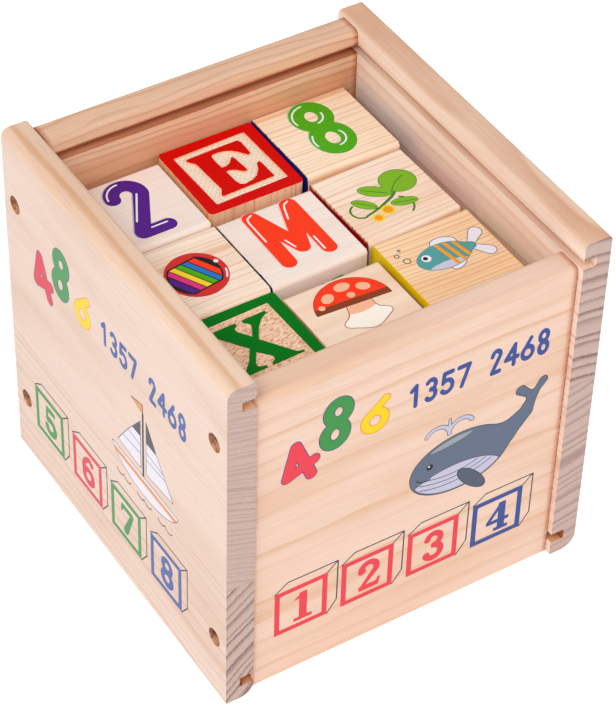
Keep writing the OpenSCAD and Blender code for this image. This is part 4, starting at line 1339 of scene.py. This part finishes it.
def sailing_boat(film, face, inks, u, v):
    """A white hull and two sails with dark tips, on a few short waves."""
    at = lambda shape: placed(shape, u, v)
    film.layer(face, 0, at(rod([(0, -10), (0.6, 20)], 0.5)), "line", step=0.25)
    sails = either(polygon([(2, -5), (19, -3.5), (9, 9), (2.4, 18.5)]),
                   polygon([(-1.2, -5), (-16, -4), (-9, 6), (-1, 16)]))
    film.layer(face, 1, at(sails), inks["white"], "line", 0.25)
    cloth = grown(sails, -0.3)
    film.layer(face, 2, at(both(cloth, slab(0, 15, 30, 6))), inks["dark"], "line", 0.2)
    seams = either(slab(0, 1.5, 30, 0.14, 0, 4), slab(0, 5, 30, 0.14, 0, -4))
    film.layer(face, 2, at(both(cloth, seams)), "slate", step=0.14)
    hull = both(oval(1, -6.5, 21, 9.5), slab(1, -13, 30, 5.5))
    film.layer(face, 1, at(hull), inks["white"], "line", 0.25)
    film.layer(face, 2, at(both(grown(hull, -0.3), slab(0, -10, 30, 0.9))), inks["orange"], step=0.35)
    film.layer(face, 1, at(polygon([(0.8, 20), (0.8, 24), (-7, 22)])), inks["orange"], "line", 0.25,
               step=0.3)
    waves = [bow(w, -16.5, 2.6, 215, 325, 0.22) for w in (-15, -10.4, -2, 2.6, 11, 15.6)]
    film.layer(face, 0, at(either(*waves)), "slate", step=0.16)


print("drawn: a whale and a sailing boat")

# %% Prints on the walls
NUMBER_INKS = "red green yellow blue outline orange "
FRONT_INKS = palette(NUMBER_INKS + "grey mist", (238, 66, 80), (62, 150, 74), (252, 214, 24), (58, 82, 154),
                     (86, 66, 136), (238, 140, 50), (100, 112, 134), (202, 198, 220))
LEFT_INKS = palette(NUMBER_INKS + "white dark", (226, 78, 94), (84, 156, 96), (248, 216, 60),
                    (86, 108, 168), (120, 104, 150), (238, 158, 100), (236, 230, 242), (92, 96, 98))


def wall_face(origin, across, out):
    """A wall's outer face, as block_face gives a block's, with v upwards."""
    return tuple(np.array(d, float) for d in (origin, across, (0, 0, 1), out))


WALL_REACH = 115      # mm from a wall face's origin to the farthest corner of its prints


def print_walls():
    front = wall_face((0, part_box("front_wall")[0].y / MM, 0), (1, 0, 0), (0, -1, 0))
    film = Film(WALL_REACH)
    numbers(film, front, FRONT_INKS, -50.5, 82.5)
    whale(film, front, FRONT_INKS, 22.5, 65)
    for name, ink, u in (("1", "red", -39.1), ("2", "red", -14.5), ("3", "red", 10.3), ("4", "blue", 35.2)):
        drawn_cube(film, front, name, FRONT_INKS[ink], u, 28.4)
    made = [film.build("ink_front_wall", "box")]
    left = wall_face((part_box("left_wall")[0].x / MM, 0, 0), (0, -1, 0), (-1, 0, 0))
    film = Film(WALL_REACH)
    numbers(film, left, LEFT_INKS, -54.2, 83)
    sailing_boat(film, left, LEFT_INKS, 18.5, 65.5)
    for name, ink, u, v in (("5", "green", -45.4, 27.8), ("6", "red", -19.4, 27.5), ("7", "green", 6.3, 27.2),
                            ("8", "blue", 32, 26.8)):
        drawn_cube(film, left, name, LEFT_INKS[ink], u, v)
    return made + [film.build("ink_left_wall", "box")]


wall_films = print_walls()
print([f.name for f in wall_films], sum(len(f.data.polygons) for f in wall_films), "triangles")

# %% [markdown]
# The light is plain and soft: a white sky all round, a broad lamp at the upper left, a weaker
# one at the right and a small one low at the left, which reaches the left wall. Together they
# light a face that looks at the camera to about the brightness its colour is written with. The
# floor is white and keeps the box's soft shadow.

# %% Floor
FLOOR_HALF, FLOOR_DROP, FLOOR_GLOW = 3.0, 0.05 * MM, 0.45
WHITE = (1.0, 1.0, 1.0, 1.0)
floor_mesh = bpy.data.meshes.new("floor")
corners = [(FLOOR_HALF * x, FLOOR_HALF * y, -FLOOR_DROP) for x, y in ((-1, -1), (1, -1), (1, 1), (-1, 1))]
floor_mesh.from_pydata(corners, [], [(0, 1, 2, 3)])
floor = bpy.data.objects.new("floor", floor_mesh)
bpy.context.scene.collection.objects.link(floor)
floor_material, patch, shader = new_material("floor_white")
cloud = patch.noise(patch.node("TexCoord").outputs["Object"], (4.0, 4.0, 4.0), 2.0)
seen = patch.node("LightPath").outputs["Is Camera Ray"]
patch.feed(shader, {"Base Color": patch.blend(cloud, tone(247, 247, 247), tone(250, 250, 250)),
                    "Roughness": 0.9, "Emission Color": WHITE,
                    "Emission Strength": patch.times(seen, FLOOR_GLOW)})
floor_mesh.materials.append(floor_material)
print("floor", 2 * FLOOR_HALF, "m wide")

# %% Sky and lamps
SKY_LIGHT = 0.56
world = bpy.data.worlds.new("sky")
bpy.context.scene.world = world
world.use_nodes = True
patch = Patch(world.node_tree)
seen = patch.node("LightPath").outputs["Is Camera Ray"]
strength = patch.scaled(seen, 1.0 - SKY_LIGHT, SKY_LIGHT)
patch.feed(world.node_tree.nodes["Background"], {"Color": WHITE, "Strength": strength})

# Each lamp: place in metres, side in metres, power in watts
LAMPS = {"key": ((-1.0, -0.85, 1.6), 1.0, 18.0), "fill": ((1.2, -1.3, 1.1), 1.2, 7.0),
         "side": ((-1.5, 0.3, 0.62), 0.8, 3.8)}
for name, (place, side, power) in LAMPS.items():
    lamp_data = bpy.data.lights.new(name, "AREA")
    lamp_data.size = side
    lamp_data.energy = power
    lamp = bpy.data.objects.new(name, lamp_data)
    lamp.location = place
    aim = np.array([0.0, 0.0, 0.07]) - np.array(place)
    level = math.hypot(aim[0], aim[1])
    lamp.rotation_euler = (math.atan2(level, -aim[2]), 0.0, math.atan2(aim[1], aim[0]) - math.pi / 2)
    bpy.context.scene.collection.objects.link(lamp)
bpy.context.scene.view_settings.view_transform = "Standard"
print("lamps:", list(LAMPS))

# %% [markdown]
# The box of the dressed model may differ from the solids' own by the thickness of a film of ink,
# and by no more.
